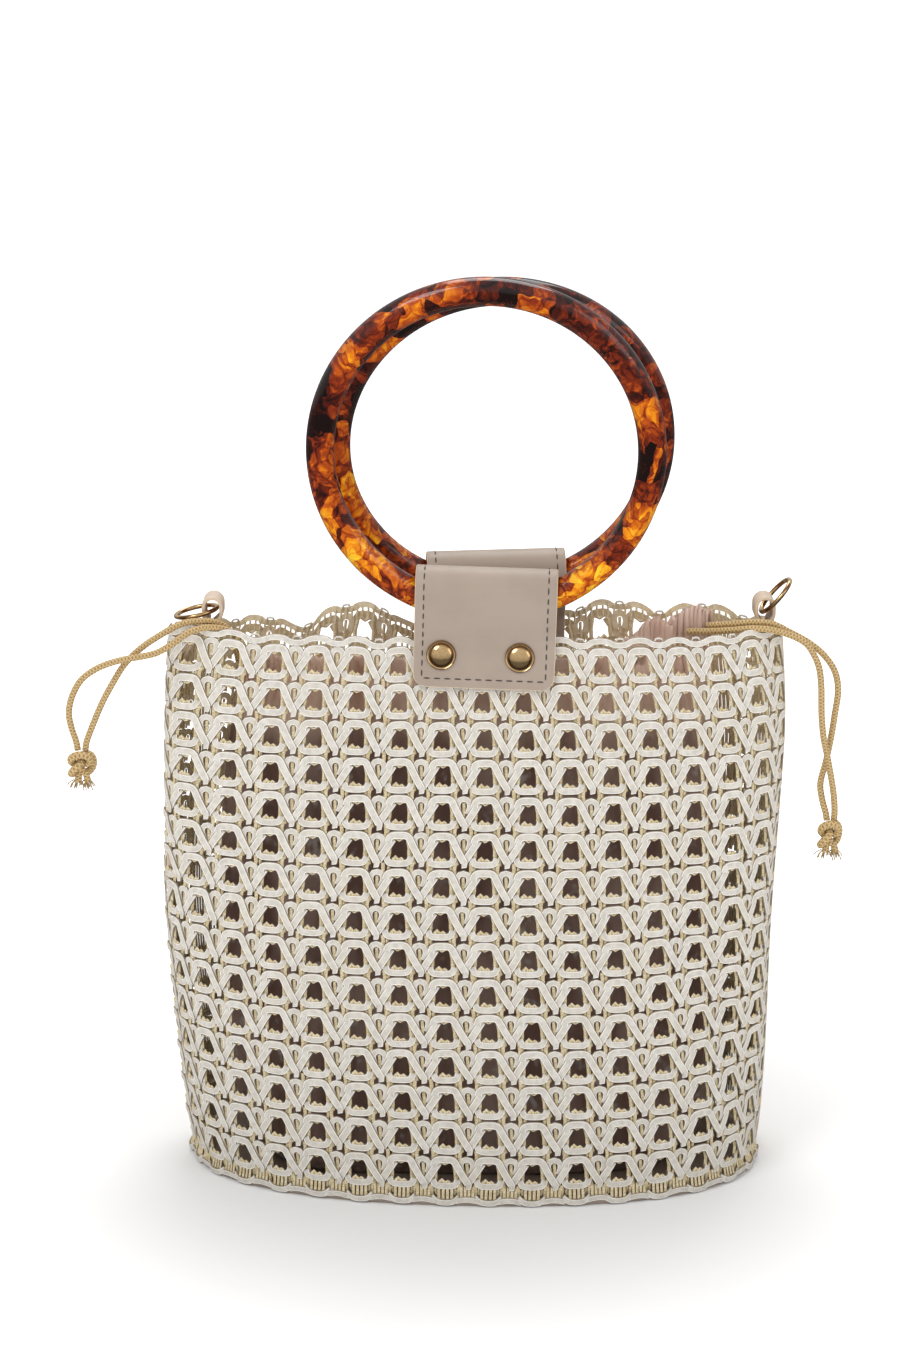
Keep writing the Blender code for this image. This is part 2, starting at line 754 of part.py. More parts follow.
def ring_loop(side, look):
    """Leather loop: two legs on the inner face of the side strip, and a round eye above the rim."""
    pin, facing = loop_pin(side)
    swept, _ = pin_reach()
    reach = swept + LOOP_PIN_CLEARANCE + LOOP_THICKNESS / 2
    apart = (LOOP_THICKNESS + CLEARANCE) / 2
    bend = LOOP_LEG_BEND - pin.z
    foot = LOOP_LEG_FOOT - pin.z

    def wall_run(z):
        share = (z + pin.z) / BAG_HEIGHT
        wall = body_point(share, seam_distance(share, side), WEAVE_THICKNESS)
        return (wall.x - pin.x) * facing - CLEARANCE - LOOP_THICKNESS

    foot_run, bend_run = wall_run(foot), wall_run(bend)
    neck = -reach * 1.45
    outer_leg = [
        (foot_run + apart, foot),
        (bend_run + apart, bend),
        (apart, neck),
        (reach * 0.98, -reach * 0.75),
        (reach, 0.0),
        (reach, LOOP_THICKNESS * 1.2),
    ]
    inner_leg = [
        (-reach, LOOP_THICKNESS * 1.2),
        (-reach, 0.0),
        (-reach * 0.98, -reach * 0.75),
        (-apart, neck),
        (bend_run - apart, bend),
        (foot_run - apart, foot),
    ]
    crown = arc_path((0.0, LOOP_THICKNESS * 1.2), reach, 0.0, math.pi, 11)
    path = softened(outer_leg, 2) + crown[1:-1] + softened(inner_leg, 2)
    halves = [LOOP_BAND_WIDTH / 2] * len(path)
    # The band's width runs along Y and its path lies in the XZ plane.
    place = Matrix.Translation(pin) @ Matrix(
        ((0.0, facing, 0.0, 0.0), (-1.0, 0.0, 0.0, 0.0), (0.0, 0.0, 1.0, 0.0), (0.0, 0.0, 0.0, 1.0))
    )
    return ribbon("ring_loop_" + side, path, path_normals(path), LOOP_THICKNESS, halves, place, look)


def strap_ring(side, look):
    """Metal ring hinged about Y in its loop; its origin is on the hinge line."""
    pin, facing = loop_pin(side)
    _, offset = pin_reach()
    rise = RIGHT_STRAP_RING_RISE if side == "right" else LEFT_STRAP_RING_RISE
    made = ring_mesh("strap_ring_" + side, STRAP_RING_RADIUS, STRAP_RING_WIRE, 28, 6, look)
    lay = Matrix.Rotation(math.radians(90), 4, "Z") @ Matrix.Translation((0.0, 0.0, offset))
    made.data.transform(lay)
    tip = Vector((facing * math.cos(rise), 0.0, math.sin(rise)))
    swing = math.atan2(tip.x, tip.z)
    made.matrix_world = Matrix.Translation(pin) @ Matrix.Rotation(swing, 4, "Y")
    return made


def pouch(look):
    """Fabric pouch standing in the bag, open at its gathered neck."""
    steps = 36

    def ring(share, inset, z):
        width = POUCH_HALF_WIDTH * table_value(POUCH_SECTIONS, POUCH_COLUMNS, "width", share) - inset
        depth = POUCH_HALF_DEPTH * table_value(POUCH_SECTIONS, POUCH_COLUMNS, "depth", share) - inset
        points = []
        for k in range(steps):
            angle = 2 * math.pi * k / steps
            c, s = math.cos(angle), math.sin(angle)
            x = width * math.copysign(abs(c) ** POUCH_SQUARENESS, c)
            y = depth * math.copysign(abs(s) ** POUCH_SQUARENESS, s)
            along = (x / POUCH_HALF_WIDTH - POUCH_RUFFLE_PLACE) / POUCH_RUFFLE_REACH
            top = POUCH_RUFFLE_RISE * math.exp(-(along**2))
            blend = max((share - 0.88) / 0.12, 0.0)
            points.append((x, y, z + top * blend * blend))
        return points

    shares = (0.0, 0.05, 0.14, 0.3, 0.5, 0.68, 0.8, 0.88, 0.94, 1.0)
    span = POUCH_HEIGHT - POUCH_FLOOR
    rings = [ring(share, 0.0, POUCH_FLOOR + span * share) for share in shares]
    inner = []
    for share in reversed(shares):
        z = max(POUCH_FLOOR + span * share, POUCH_FLOOR + POUCH_WALL)
        inner.append(ring(share, POUCH_WALL, z))
    builder = bmesh.new()
    loft(builder, rings + inner)
    return add_object("pouch", builder, look, sharp=60.0)


def smooth_route(points, spacing):
    """Evenly spaced points on a smooth curve through the route points."""
    points = [Vector(point) for point in points]
    padded = [points[0] * 2 - points[1], *points, points[-1] * 2 - points[-2]]
    dense = []
    for a, b, c, d in zip(padded, padded[1:], padded[2:], padded[3:]):
        for k in range(24):
            t = k / 24
            dense.append(
                0.5 * (2 * b + (c - a) * t + (2 * a - 5 * b + 4 * c - d) * t**2 + (3 * b - a - 3 * c + d) * t**3)
            )
    dense.append(points[-1])
    run = [0.0]
    for a, b in zip(dense[:-1], dense[1:]):
        run.append(run[-1] + (b - a).length)
    count = max(round(run[-1] / spacing), 2)
    wanted = [run[-1] * k / count for k in range(count + 1)]
    columns = [np.interp(wanted, run, [point[k] for point in dense]) for k in range(3)]
    return list(zip(*columns))


def cord(name, route, look):
    curve = bpy.data.curves.new(name, "CURVE")
    curve.dimensions = "3D"
    curve.bevel_depth = CORD_RADIUS
    curve.bevel_resolution = 2
    curve.use_fill_caps = True
    points = smooth_route(route, CORD_POINT_SPACING)
    spline = curve.splines.new("POLY")
    spline.points.add(len(points) - 1)
    for point, place in zip(spline.points, points):
        point.co = (*place, 1.0)
    curve.materials.append(look)
    made = bpy.data.objects.new(name, curve)
    bpy.context.scene.collection.objects.link(made)
    return made


def knot(name, centre, look):
    edge = KNOT_EDGE
    profile = [
        (0.0, -KNOT_HALF_HEIGHT),
        (KNOT_RADIUS - edge, -KNOT_HALF_HEIGHT),
        (KNOT_RADIUS, -KNOT_HALF_HEIGHT + edge),
        (KNOT_RADIUS, KNOT_HALF_HEIGHT - edge),
        (KNOT_RADIUS - edge * 0.4, KNOT_HALF_HEIGHT),
        (0.0, KNOT_HALF_HEIGHT),
    ]
    builder = bmesh.new()
    turned(builder, profile, 14, Matrix.Translation(centre))
    return add_object(name, builder, look)


def build():
    clear_scene()
    straw = material("straw", (0.70, 0.66, 0.58), 0.55)
    leather = material("leather", (0.56, 0.45, 0.36), 0.5)
    resin = material("tortoiseshell", (0.32, 0.10, 0.02), 0.12)
    gold = material("gold", (0.83, 0.62, 0.30), 0.22, 1.0)
    satin = material("satin", (0.55, 0.38, 0.32), 0.4)
    braid = material("braid", (0.50, 0.36, 0.16), 0.8)

    base_panel(leather)
    for side in ("left", "right"):
        side_strip(side, leather)
        ring_loop(side, leather)
        strap_ring(side, gold)
    for wall in ("front", "back"):
        weave = woven_panel("weave_" + wall, wall, straw)
        tab = handle_tab(wall, leather)
        handle_ring(wall, resin)
        cutters = []
        for side in ("left", "right"):
            rivet(wall, side, gold)
            cutters.append(rivet_cutter(wall, side))
        cut(tab, cutters)
        cut(weave, cutters)
    pouch(satin)
    cord("cord_left_a", LEFT_CORD_A, braid)
    cord("cord_left_b", LEFT_CORD_B, braid)
    knot("knot_left", LEFT_KNOT_CENTRE, braid)
    cord("cord_right_a", RIGHT_CORD_A, braid)
    cord("cord_right_b", RIGHT_CORD_B, braid)
    knot("knot_right", RIGHT_KNOT_CENTRE, braid)


build()
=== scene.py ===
"""Looks of the straw handbag: open weave, leather trim, resin rings, drawstring pouch."""

import math

import bmesh
import bpy
import numpy as np
from mathutils import Matrix, Vector


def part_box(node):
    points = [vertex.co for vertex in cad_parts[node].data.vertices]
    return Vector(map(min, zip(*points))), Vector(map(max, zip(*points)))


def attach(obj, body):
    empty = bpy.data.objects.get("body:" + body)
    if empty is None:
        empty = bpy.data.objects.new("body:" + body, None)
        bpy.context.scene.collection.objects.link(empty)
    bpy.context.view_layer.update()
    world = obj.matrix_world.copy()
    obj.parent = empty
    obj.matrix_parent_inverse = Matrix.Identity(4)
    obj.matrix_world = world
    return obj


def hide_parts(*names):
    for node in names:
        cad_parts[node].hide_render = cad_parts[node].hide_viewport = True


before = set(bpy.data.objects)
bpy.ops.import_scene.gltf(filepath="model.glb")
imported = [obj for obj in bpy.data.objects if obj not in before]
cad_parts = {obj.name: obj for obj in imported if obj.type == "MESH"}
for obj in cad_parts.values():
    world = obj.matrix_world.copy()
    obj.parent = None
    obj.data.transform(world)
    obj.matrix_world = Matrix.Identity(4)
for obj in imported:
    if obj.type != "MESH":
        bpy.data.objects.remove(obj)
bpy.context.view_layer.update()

MM = 0.001
FULL_TURN = 2 * math.pi

# Body surface: the same sizes and tables as the solid model.
BAG_HEIGHT = 0.240
BAG_HALF_WIDTH = 0.132
BASE_HALF_DEPTH = 0.065
WEAVE_THICKNESS = 0.0025
FRONT_TURN = math.radians(-2.2)
BACK_TURN = math.radians(2.9)
SEAM_LEAD = 0.0002
PINCH_REACH = 0.011
LEFT_PINCH = 0.010
RIGHT_PINCH = 0.005
STRIP_WIDTH = 0.014
OUTLINE_STEPS = 720
BODY_COLUMNS = ("height", "left", "right", "front", "back", "squareness")
BODY_SECTIONS = (
    (0.00, 0.930, 0.950, 1.000, 1.000, 2.35),
    (0.05, 0.952, 0.968, 0.990, 0.990, 2.40),
    (0.15, 0.975, 0.978, 0.950, 0.950, 2.45),
    (0.30, 1.002, 0.986, 0.880, 0.880, 2.50),
    (0.42, 1.020, 0.992, 0.815, 0.815, 2.50),
    (0.54, 1.034, 1.004, 0.740, 0.740, 2.50),
    (0.68, 1.036, 1.022, 0.635, 0.640, 2.55),
    (0.84, 1.046, 1.040, 0.500, 0.505, 2.70),
    (1.00, 1.052, 1.034, 0.346, 0.350, 3.00),
)
# How far the front weave passes the left seam, as a share of the wall.
FRONT_WRAP = 0.028
PINCH_COLUMNS = ("height", "left", "right")
PINCH_SHARES = (
    (0.00, 0.00, 0.00),
    (0.30, 0.05, 0.10),
    (0.54, 0.18, 0.30),
    (0.75, 0.45, 0.55),
    (1.00, 1.00, 1.00),
)
# Hollows: centre, height, reach along and up the wall, slant, depth as a share of the base's.
FRONT_DENTS = (
    (0.13, 0.56, 0.09, 0.07, 0.30, 0.055),
    (0.84, 0.33, 0.05, 0.26, -0.35, 0.060),
)
BACK_DENTS = (
    (0.24, 0.50, 0.10, 0.10, 0.20, 0.050),
    (0.75, 0.40, 0.07, 0.20, -0.30, 0.050),
)

# Net of the weave, in millimetres.
COLUMNS = 16
ROWS = 15
CELL_WIDTH = 18.2
CELL_HEIGHT = 15.35
TOP_HOLE_HEIGHT = 229.2
RIBBON_WIDTH = 3.5
RIBBON_THICK = 1.0
LOOSENESS = 0.16
LOOSE_TIP = 0.016
# How far the front weave stands out where it crosses the left strip.
OVER_STRIP_RISE = 1.8
# The rim's waves fade in over this height.
WAVES_FROM = 188.0
WAVES_OVER = 48.0

# Where the holes lie in their columns, in columns, over the height; the edges bunch up low down.
DRIFT_COLUMNS = ("height", "middle", "left", "right")
COLUMN_DRIFT = (
    (0.06, 0.66, 0.25, -0.15),
    (0.19, 0.74, 0.25, -0.30),
    (0.38, 0.74, 0.25, -0.30),
    (0.50, 0.70, 0.10, -0.30),
    (0.63, 0.68, -0.18, -0.24),
    (0.76, 0.64, -0.30, -0.24),
    (0.96, 0.50, -0.32, -0.24),
)

# How many columns the bunching at each edge reaches in.
BUNCHING = {"left": 2.0, "right": 1.6}

# Waves of the rim: centre along the wall, reach along it, rise in millimetres.
RIM_WAVES = {
    "front": ((0.05, 0.07, 2.4), (0.95, 0.06, 2.0), (0.34, 0.03, -0.6), (0.68, 0.03, -0.5)),
    "back": (
        (0.15, 0.050, 4.5),
        (0.29, 0.060, 5.5),
        (0.46, 0.050, 1.0),
        (0.60, 0.040, -4.0),
        (0.70, 0.055, 5.5),
        (0.79, 0.026, -4.0),
        (0.86, 0.030, 1.0),
    ),
}

# Ring handles and tabs.
RING_RADIUS = 0.069
RING_TUBE = 0.006
RING_FOOT = {"front": (0.0048, -0.0190, 0.2523), "back": (0.0094, 0.0190, 0.2521)}
RING_TURN = {"front": FRONT_TURN, "back": BACK_TURN}
RING_LEAN = {"front": math.radians(7.6), "back": math.radians(13.8)}
TAB_ROLL = {"front": math.radians(1.6), "back": math.radians(-1.0)}
TAB_WIDTH = 0.060
TAB_THICKNESS = 0.0022
TAB_DROP = 0.0325
TAB_CORNER = 0.006
TAB_FOLD_RISE = 0.0093
TAB_RING_CLEARANCE = 0.0007
TAB_WALL_CLEARANCE = 0.0007
STITCH_INSET = 0.0038
STITCH_PITCH = 0.0042
RIVET_SPACING = 0.0332
RIVET_SHIFT = -0.0016
RIVET_DROP = 0.0200

# Strap rings and the leather loops on the seams that hold them.
STRAP_RING_RADIUS = 0.009
STRAP_RING_TUBE = 0.001
STRAP_RING_RISE = {"left": math.radians(-11.7), "right": math.radians(49.0)}
LOOP_PIN = {"left": -0.11217, "right": 0.12429}
LOOP_PIN_HEIGHT = 0.248
LOOP_SEAM = {"left": (-0.1278, -0.1271), "right": (0.1303, 0.1296)}
LOOP_FOOT_HEIGHT = 0.222
LOOP_BEND_HEIGHT = 0.231
LOOP_BAND = 0.013
LOOP_THICKNESS = 0.0016
LOOP_CLEARANCE = 0.0003

# Drawstrings.
CORD_RADIUS = 0.0014
CORD_ROUTES = {
    "cord_left_a": (
        (-0.1013, -0.0056, 0.2262), (-0.1019, -0.0057, 0.2295), (-0.1030, -0.0060, 0.2345),
        (-0.1052, -0.0071, 0.2399), (-0.1094, -0.0091, 0.2436), (-0.1155, -0.0116, 0.2451),
        (-0.1241, -0.0140, 0.2446), (-0.1329, -0.0158, 0.2404), (-0.1419, -0.0170, 0.2345),
        (-0.1490, -0.0180, 0.2276), (-0.1545, -0.0190, 0.2190), (-0.1590, -0.0200, 0.2107),
        (-0.1632, -0.0206, 0.2010), (-0.1656, -0.0210, 0.1947), (-0.1664, -0.0210, 0.1907),
    ),
    "cord_left_b": (
        (-0.0968, -0.0092, 0.2258), (-0.0977, -0.0096, 0.2300), (-0.0995, -0.0100, 0.2350),
        (-0.1030, -0.0107, 0.2395), (-0.1080, -0.0121, 0.2419), (-0.1145, -0.0142, 0.2428),
        (-0.1215, -0.0172, 0.2414), (-0.1285, -0.0196, 0.2368), (-0.1352, -0.0205, 0.2332),
        (-0.1417, -0.0212, 0.2318), (-0.1506, -0.0218, 0.2303), (-0.1595, -0.0222, 0.2273),
        (-0.1668, -0.0224, 0.2222), (-0.1710, -0.0224, 0.2152), (-0.1728, -0.0222, 0.2077),
        (-0.1720, -0.0218, 0.2010), (-0.1703, -0.0213, 0.1950), (-0.1696, -0.0210, 0.1907),
    ),
    "cord_right_a": (
        (0.0994, -0.0075, 0.2420), (0.1080, -0.0115, 0.2436), (0.1186, -0.0143, 0.2450),
        (0.1265, -0.0152, 0.2447), (0.1346, -0.0158, 0.2409), (0.1420, -0.0160, 0.2368),
        (0.1488, -0.0163, 0.2312), (0.1537, -0.0163, 0.2238), (0.1552, -0.0163, 0.2154),
        (0.1542, -0.0160, 0.2052), (0.1530, -0.0152, 0.1949), (0.1512, -0.0140, 0.1834),
        (0.1492, -0.0136, 0.1739), (0.1501, -0.0141, 0.1665), (0.1517, -0.0150, 0.1608),
        (0.1522, -0.0155, 0.1576),
    ),
    "cord_right_b": (
        (0.0906, -0.0110, 0.2405), (0.0990, -0.0124, 0.2407), (0.1085, -0.0150, 0.2418),
        (0.1183, -0.0176, 0.2432), (0.1262, -0.0186, 0.2428), (0.1343, -0.0192, 0.2405),
        (0.1405, -0.0198, 0.2372), (0.1440, -0.0202, 0.2323), (0.1464, -0.0206, 0.2264),
        (0.1475, -0.0206, 0.2181), (0.1480, -0.0204, 0.2061), (0.1492, -0.0198, 0.1958),
        (0.1512, -0.0188, 0.1871), (0.1536, -0.0176, 0.1756), (0.1549, -0.0166, 0.1678),
        (0.1554, -0.0159, 0.1618), (0.1553, -0.0155, 0.1576),
    ),
}
# Centre, width and height of each knot, the last two in millimetres.
KNOTS = {
    "knot_left": ((-0.1680, -0.0210, 0.1846), 12.5, 12.5),
    "knot_right": ((0.1538, -0.0155, 0.1515), 11.5, 13.5),
}
KNOT_DEPTH = 9.0
KNOT_STRAND_RADIUS = 1.7

# Pouch.
POUCH_FLOOR = 0.0028
POUCH_HEIGHT = 0.228
POUCH_HALF_WIDTH = 0.112
POUCH_HALF_DEPTH = 0.050
POUCH_RUFFLE_RISE = 0.019
POUCH_RUFFLE_PLACE = 0.80
POUCH_RUFFLE_REACH = 0.24
POUCH_SQUARENESS = 0.6
# Gathers round the neck, one number for each set of waves.
POUCH_GATHERS = (37, 53, 71, 29, 91)
POUCH_CASING = 0.965
# Lumps of the ruffle: centre and reach across the bag, rise.
RUFFLE_LUMPS = (
    (0.063, 0.006, -0.0025),
    (0.0755, 0.005, 0.0020),
    (0.0845, 0.003, -0.0055),
    (0.0955, 0.006, 0.0035),
    (-0.045, 0.012, 0.0015),
)
POUCH_COLUMNS = ("height", "width", "depth")
POUCH_SECTIONS = (
    (0.00, 0.80, 0.80),
    (0.05, 0.90, 0.92),
    (0.20, 0.98, 0.90),
    (0.50, 1.00, 0.70),
    (0.75, 0.98, 0.50),
    (0.88, 0.94, 0.36),
    (0.95, 0.91, 0.28),
    (1.00, 0.905, 0.27),
)

# Camera: as far off, as high and as tilted as the photograph's.
CAMERA_PLACE = (-0.0105, -1.320, 0.557)
CAMERA_TILT = math.radians(14.39)
CAMERA_LENS = 3156 / 1350 * 36

# Lamps: name, place, what they are aimed at, size in metres and power in watts.
LAMPS = (
    ("key_light", (-0.9, -1.0, 1.8), (0.0, 0.0, 0.15), 0.8, 11.5),
    ("fill_light", (1.3, -0.8, 1.1), (0.0, 0.0, 0.15), 0.9, 3.5),
    ("top_light", (0.1, 0.7, 1.7), (0.0, 0.0, 0.1), 1.0, 13.0),
)


# ---- Shader expressions


def operator(kind, swapped=False):
    """What a shader value does for one of Python's signs, from either side of it."""

    def method(self, other):
        pair = [other, self] if swapped else [self, other]
        return self.look.node("ShaderNodeMath", pair, operation=kind)

    return method


class Value:
    """A shader value that takes part in Python expressions."""

    __add__, __radd__ = operator("ADD"), operator("ADD", True)
    __sub__, __rsub__ = operator("SUBTRACT"), operator("SUBTRACT", True)
    __mul__, __rmul__ = operator("MULTIPLY"), operator("MULTIPLY", True)
    __pow__ = operator("POWER")

    def __init__(self, look, socket):
        self.look = look
        self.socket = socket

    def math(self, kind, *others):
        return self.look.node("ShaderNodeMath", [self, *others], operation=kind)

    def step(self, low, high):
        """0 below low, 1 above high, smooth between."""
        return self.look.node(
            "ShaderNodeMapRange",
            {"Value": self, "From Min": low, "From Max": high},
            interpolation_type="SMOOTHSTEP",
        )


class Look:
    """A material and the nodes behind its Principled shader."""

    def __init__(self, name, colour, roughness, metallic=0.0, **fixed):
        self.material = bpy.data.materials.new(name)
        self.material.use_nodes = True
        self.tree = self.material.node_tree
        self.shader = self.tree.nodes["Principled BSDF"]
        self.shader.inputs["Base Color"].default_value = (*colour, 1.0)
        self.shader.inputs["Roughness"].default_value = roughness
        self.shader.inputs["Metallic"].default_value = metallic
        for socket, value in fixed.items():
            self.shader.inputs[socket.replace("_", " ")].default_value = value
        self.material.diffuse_color = (*colour, 1.0)

    def node(self, kind, inputs=(), output=0, stops=None, **settings):
        made = self.tree.nodes.new(kind)
        for name, value in settings.items():
            setattr(made, name, value)
        if stops:
            ramp = made.color_ramp
            while len(ramp.elements) < len(stops):
                ramp.elements.new(0.5)
            for element, (place, colour) in zip(ramp.elements, stops):
                element.position = place
                element.color = (*colour, 1.0)
        pairs = inputs.items() if isinstance(inputs, dict) else enumerate(inputs)
        for key, value in pairs:
            if isinstance(value, Value):
                self.tree.links.new(value.socket, made.inputs[key])
            elif value is not None:
                made.inputs[key].default_value = value
        return Value(self, made.outputs[output])

    def place(self):
        return self.node("ShaderNodeTexCoord", output="Object")

    def uv(self):
        return self.node("ShaderNodeTexCoord", output="UV")

    def parts(self, vector):
        split = self.node("ShaderNodeSeparateXYZ", [vector])
        outputs = split.socket.node.outputs
        return [Value(self, outputs[k]) for k in range(3)]

    def scaled(self, vector, scale):
        return self.node("ShaderNodeMapping", {"Vector": vector, "Scale": scale})

    def noise(self, vector, scale, detail=2.0, roughness=0.5):
        inputs = {"Vector": vector, "Scale": scale, "Detail": detail, "Roughness": roughness}
        return self.node("ShaderNodeTexNoise", inputs)

    def mix(self, share, first, second):
        def colour(value):
            return value if isinstance(value, Value) else (*value, 1.0)

        inputs = {0: share, 6: colour(first), 7: colour(second)}
        return self.node("ShaderNodeMix", inputs, output=2, data_type="RGBA")

    def feed(self, socket, value):
        self.tree.links.new(value.socket, self.shader.inputs[socket])

    def bump(self, height, distance, strength=1.0):
        inputs = {"Strength": strength, "Distance": distance, "Height": height}
        self.feed("Normal", self.node("ShaderNodeBump", inputs))


def srgb(red, green, blue):
    """Linear colour from the 0-255 values of a screen colour."""
    return tuple(
        c / 255 / 12.92 if c <= 10.3 else ((c / 255 + 0.055) / 1.055) ** 2.4
        for c in (red, green, blue)
    )


def ribbon_fibre(look):
    """Fine fibres that run along a ribbon."""
    return look.noise(look.scaled(look.uv(), (0.7, 16.0, 1.0)), 3.0, 2.0)


def ribbon_look():
    """Greyish white satin ribbon: painted highlight lines near its edges, painted shade along its
    borders and fine fibres along it.
    """
    look = Look("straw_ribbon", srgb(222, 216, 208), 0.5)
    along, across, _ = look.parts(look.uv())
    edge = (across - 0.5).math("ABSOLUTE") * 2.0
    # Painted light: rim is a painted highlight line near each edge, cut is painted shade along the
    # outer borders.
    rim = edge.step(0.56, 0.68) * (1.0 - edge.step(0.76, 0.82))
    cut = edge.step(0.82, 0.90)
    broad = look.noise(look.place(), 55.0, 3.0)
    tone = look.noise(look.place(), 420.0, 3.0)
    fibre = ribbon_fibre(look)
    body = look.mix(tone.step(0.3, 0.7), srgb(206, 200, 190), srgb(228, 223, 214))
    body = look.mix(broad.step(0.4, 0.75) * 0.5, body, srgb(214, 206, 191))
    body = look.mix(fibre.step(0.35, 0.7) * 0.3, body, srgb(192, 185, 174))
    # Painted highlight on the edge lines, then painted shade on the borders.
    bright = look.mix(rim * 0.9, body, srgb(254, 251, 245))
    look.feed("Base Color", look.mix(cut * 0.9, bright, srgb(128, 112, 88)))
    look.feed("Roughness", 0.32 + fibre * 0.2)
    look.bump(fibre * 0.5 + rim * 0.8, 0.00018, 0.6)
    return look.material


def underside_look():
    """The ribbon's unbleached reverse."""
    look = Look("ribbon_reverse", srgb(244, 230, 198), 0.6)
    tone = look.noise(look.place(), 380.0, 3.0)
    fibre = ribbon_fibre(look)
    body = look.mix(tone.step(0.3, 0.7), srgb(238, 222, 186), srgb(252, 242, 216))
    look.feed("Base Color", look.mix(fibre.step(0.35, 0.7) * 0.3, body, srgb(218, 198, 158)))
    look.bump(fibre, 0.00015, 0.5)
    return look.material


def thread_look(name, dark, pale, twisted):
    """Yellowish beige twisted thread."""
    look = Look(name, srgb(*pale), 0.6)
    along, across, _ = look.parts(look.uv())
    tone = look.noise(look.place(), 700.0, 2.0)
    twist = (along * 5.5 + across * FULL_TURN).math("SINE") * 0.5 + 0.5
    body = look.mix(tone.step(0.3, 0.7), srgb(*dark), srgb(*pale))
    look.feed("Base Color", look.mix(twist * 0.3, body, srgb(*twisted)))
    look.bump(twist, 0.00015, 0.5)
    return look.material


def leather_look(name, colour, shade):
    """Smooth leather with a fine grain."""
    look = Look(name, srgb(*colour), 0.48)
    place = look.place()
    grain = look.node(
        "ShaderNodeTexVoronoi",
        {"Vector": place, "Scale": 1500.0, "Randomness": 1.0},
        feature="SMOOTH_F1",
    )
    fine = look.noise(place, 2600.0, 3.0)
    broad = look.noise(place, 60.0, 2.0)
    body = look.mix(broad.step(0.35, 0.7), srgb(*colour), srgb(*shade))
    look.feed("Base Color", look.mix(fine * 0.25, body, srgb(*(c * 0.9 for c in colour))))
    look.feed("Roughness", 0.42 + fine * 0.16)
    look.bump(grain * 0.7 + fine * 0.5, 0.00012, 0.35)
    return look.material


def edge_look():
    """Cream edge paint of the leather pieces."""
    look = Look("painted_edge", srgb(216, 194, 168), 0.4)
    tone = look.noise(look.place(), 300.0, 2.0)
    look.feed("Base Color", look.mix(tone, srgb(206, 182, 154), srgb(228, 208, 182)))
    return look.material


def stitch_look():
    """Dark grey sewing thread."""
    look = Look("stitch_thread", srgb(80, 72, 64), 0.7)
    twist = look.noise(look.place(), 2500.0, 1.0)
    look.feed("Base Color", look.mix(twist, srgb(56, 50, 44), srgb(104, 94, 84)))
    return look.material


def resin_look():
    """Tortoiseshell: dark brown and amber flakes with a few bright yellow ones, polished, with
    painted shade where the surface turns away from view.
    """
    look = Look("tortoiseshell", srgb(96, 40, 18), 0.12, Coat_Weight=0.0)
    place = look.place()
    warp = look.node(
        "ShaderNodeTexNoise", {"Vector": place, "Scale": 70.0, "Detail": 2.0}, output=1
    )
    pushed = look.node(
        "ShaderNodeVectorMath", {0: warp, 1: (0.016, 0.016, 0.016)}, operation="MULTIPLY"
    )
    bent = look.node("ShaderNodeVectorMath", [place, pushed], operation="ADD")

    def flakes(scale):
        cells = look.node(
            "ShaderNodeTexVoronoi", {"Vector": bent, "Scale": scale, "Randomness": 1.0}, output=1
        )
        return look.parts(cells)[0]

    cracks = look.node(
        "ShaderNodeTexVoronoi",
        {"Vector": bent, "Scale": 150.0, "Randomness": 1.0},
        feature="DISTANCE_TO_EDGE",
    ).step(0.10, 0.02)
    cloud = look.noise(place, 24.0, 3.0, 0.55)
    streak = look.noise(bent, 300.0, 3.0, 0.6)
    across, _, height = look.parts(place)
    # Tone rises towards +x and towards the foot of the ring, below about 0.31 m.
    tone_shift_by_place = (1.0 - height.step(0.258, 0.310)) * 0.09 + across * 0.35
    tone = cloud * 0.66 + flakes(95.0) * 0.28 + flakes(240.0) * 0.12 + (streak - 0.5) * 0.26
    tone = tone + tone_shift_by_place - cracks * 0.05
    colour = look.node(
        "ShaderNodeValToRGB",
        [tone],
        stops=(
            (0.37, srgb(22, 7, 5)),
            (0.47, srgb(72, 20, 9)),
            (0.55, srgb(132, 44, 12)),
            (0.62, srgb(192, 84, 12)),
            (0.70, srgb(242, 148, 16)),
            (0.79, srgb(255, 206, 46)),
        ),
    )
    # Painted shade: darker where the surface turns away from view, for the dark outline at the
    # ring's edges.
    painted_edge_shade = look.node("ShaderNodeLayerWeight", {"Blend": 0.35}, output=1)
    look.feed("Base Color", look.mix(painted_edge_shade * 0.7, colour, srgb(26, 9, 6)))
    look.shader.inputs["Specular IOR Level"].default_value = 0.45
    return look.material


def gold_look():
    """Pale gold plating: bright face, a painted dark reflection band where it curves away, bright
    rim.
    """
    look = Look("pale_gold", srgb(232, 200, 140), 0.14, 1.0)
    wear = look.noise(look.place(), 900.0, 3.0)
    plate = look.mix(wear, srgb(206, 164, 108), srgb(238, 208, 160))
    curve = look.node("ShaderNodeLayerWeight", {"Blend": 0.5}, output=1)
    # Painted reflection: the plate darkened in a band where the surface curves away, for dark
    # surroundings seen in the gold.
    band = curve.step(0.05, 0.16) * (1.0 - curve.step(0.36, 0.50))
    look.feed("Base Color", look.mix(band * 0.85, plate, srgb(96, 60, 34)))
    look.feed("Roughness", 0.10 + wear * 0.12)
    return look.material


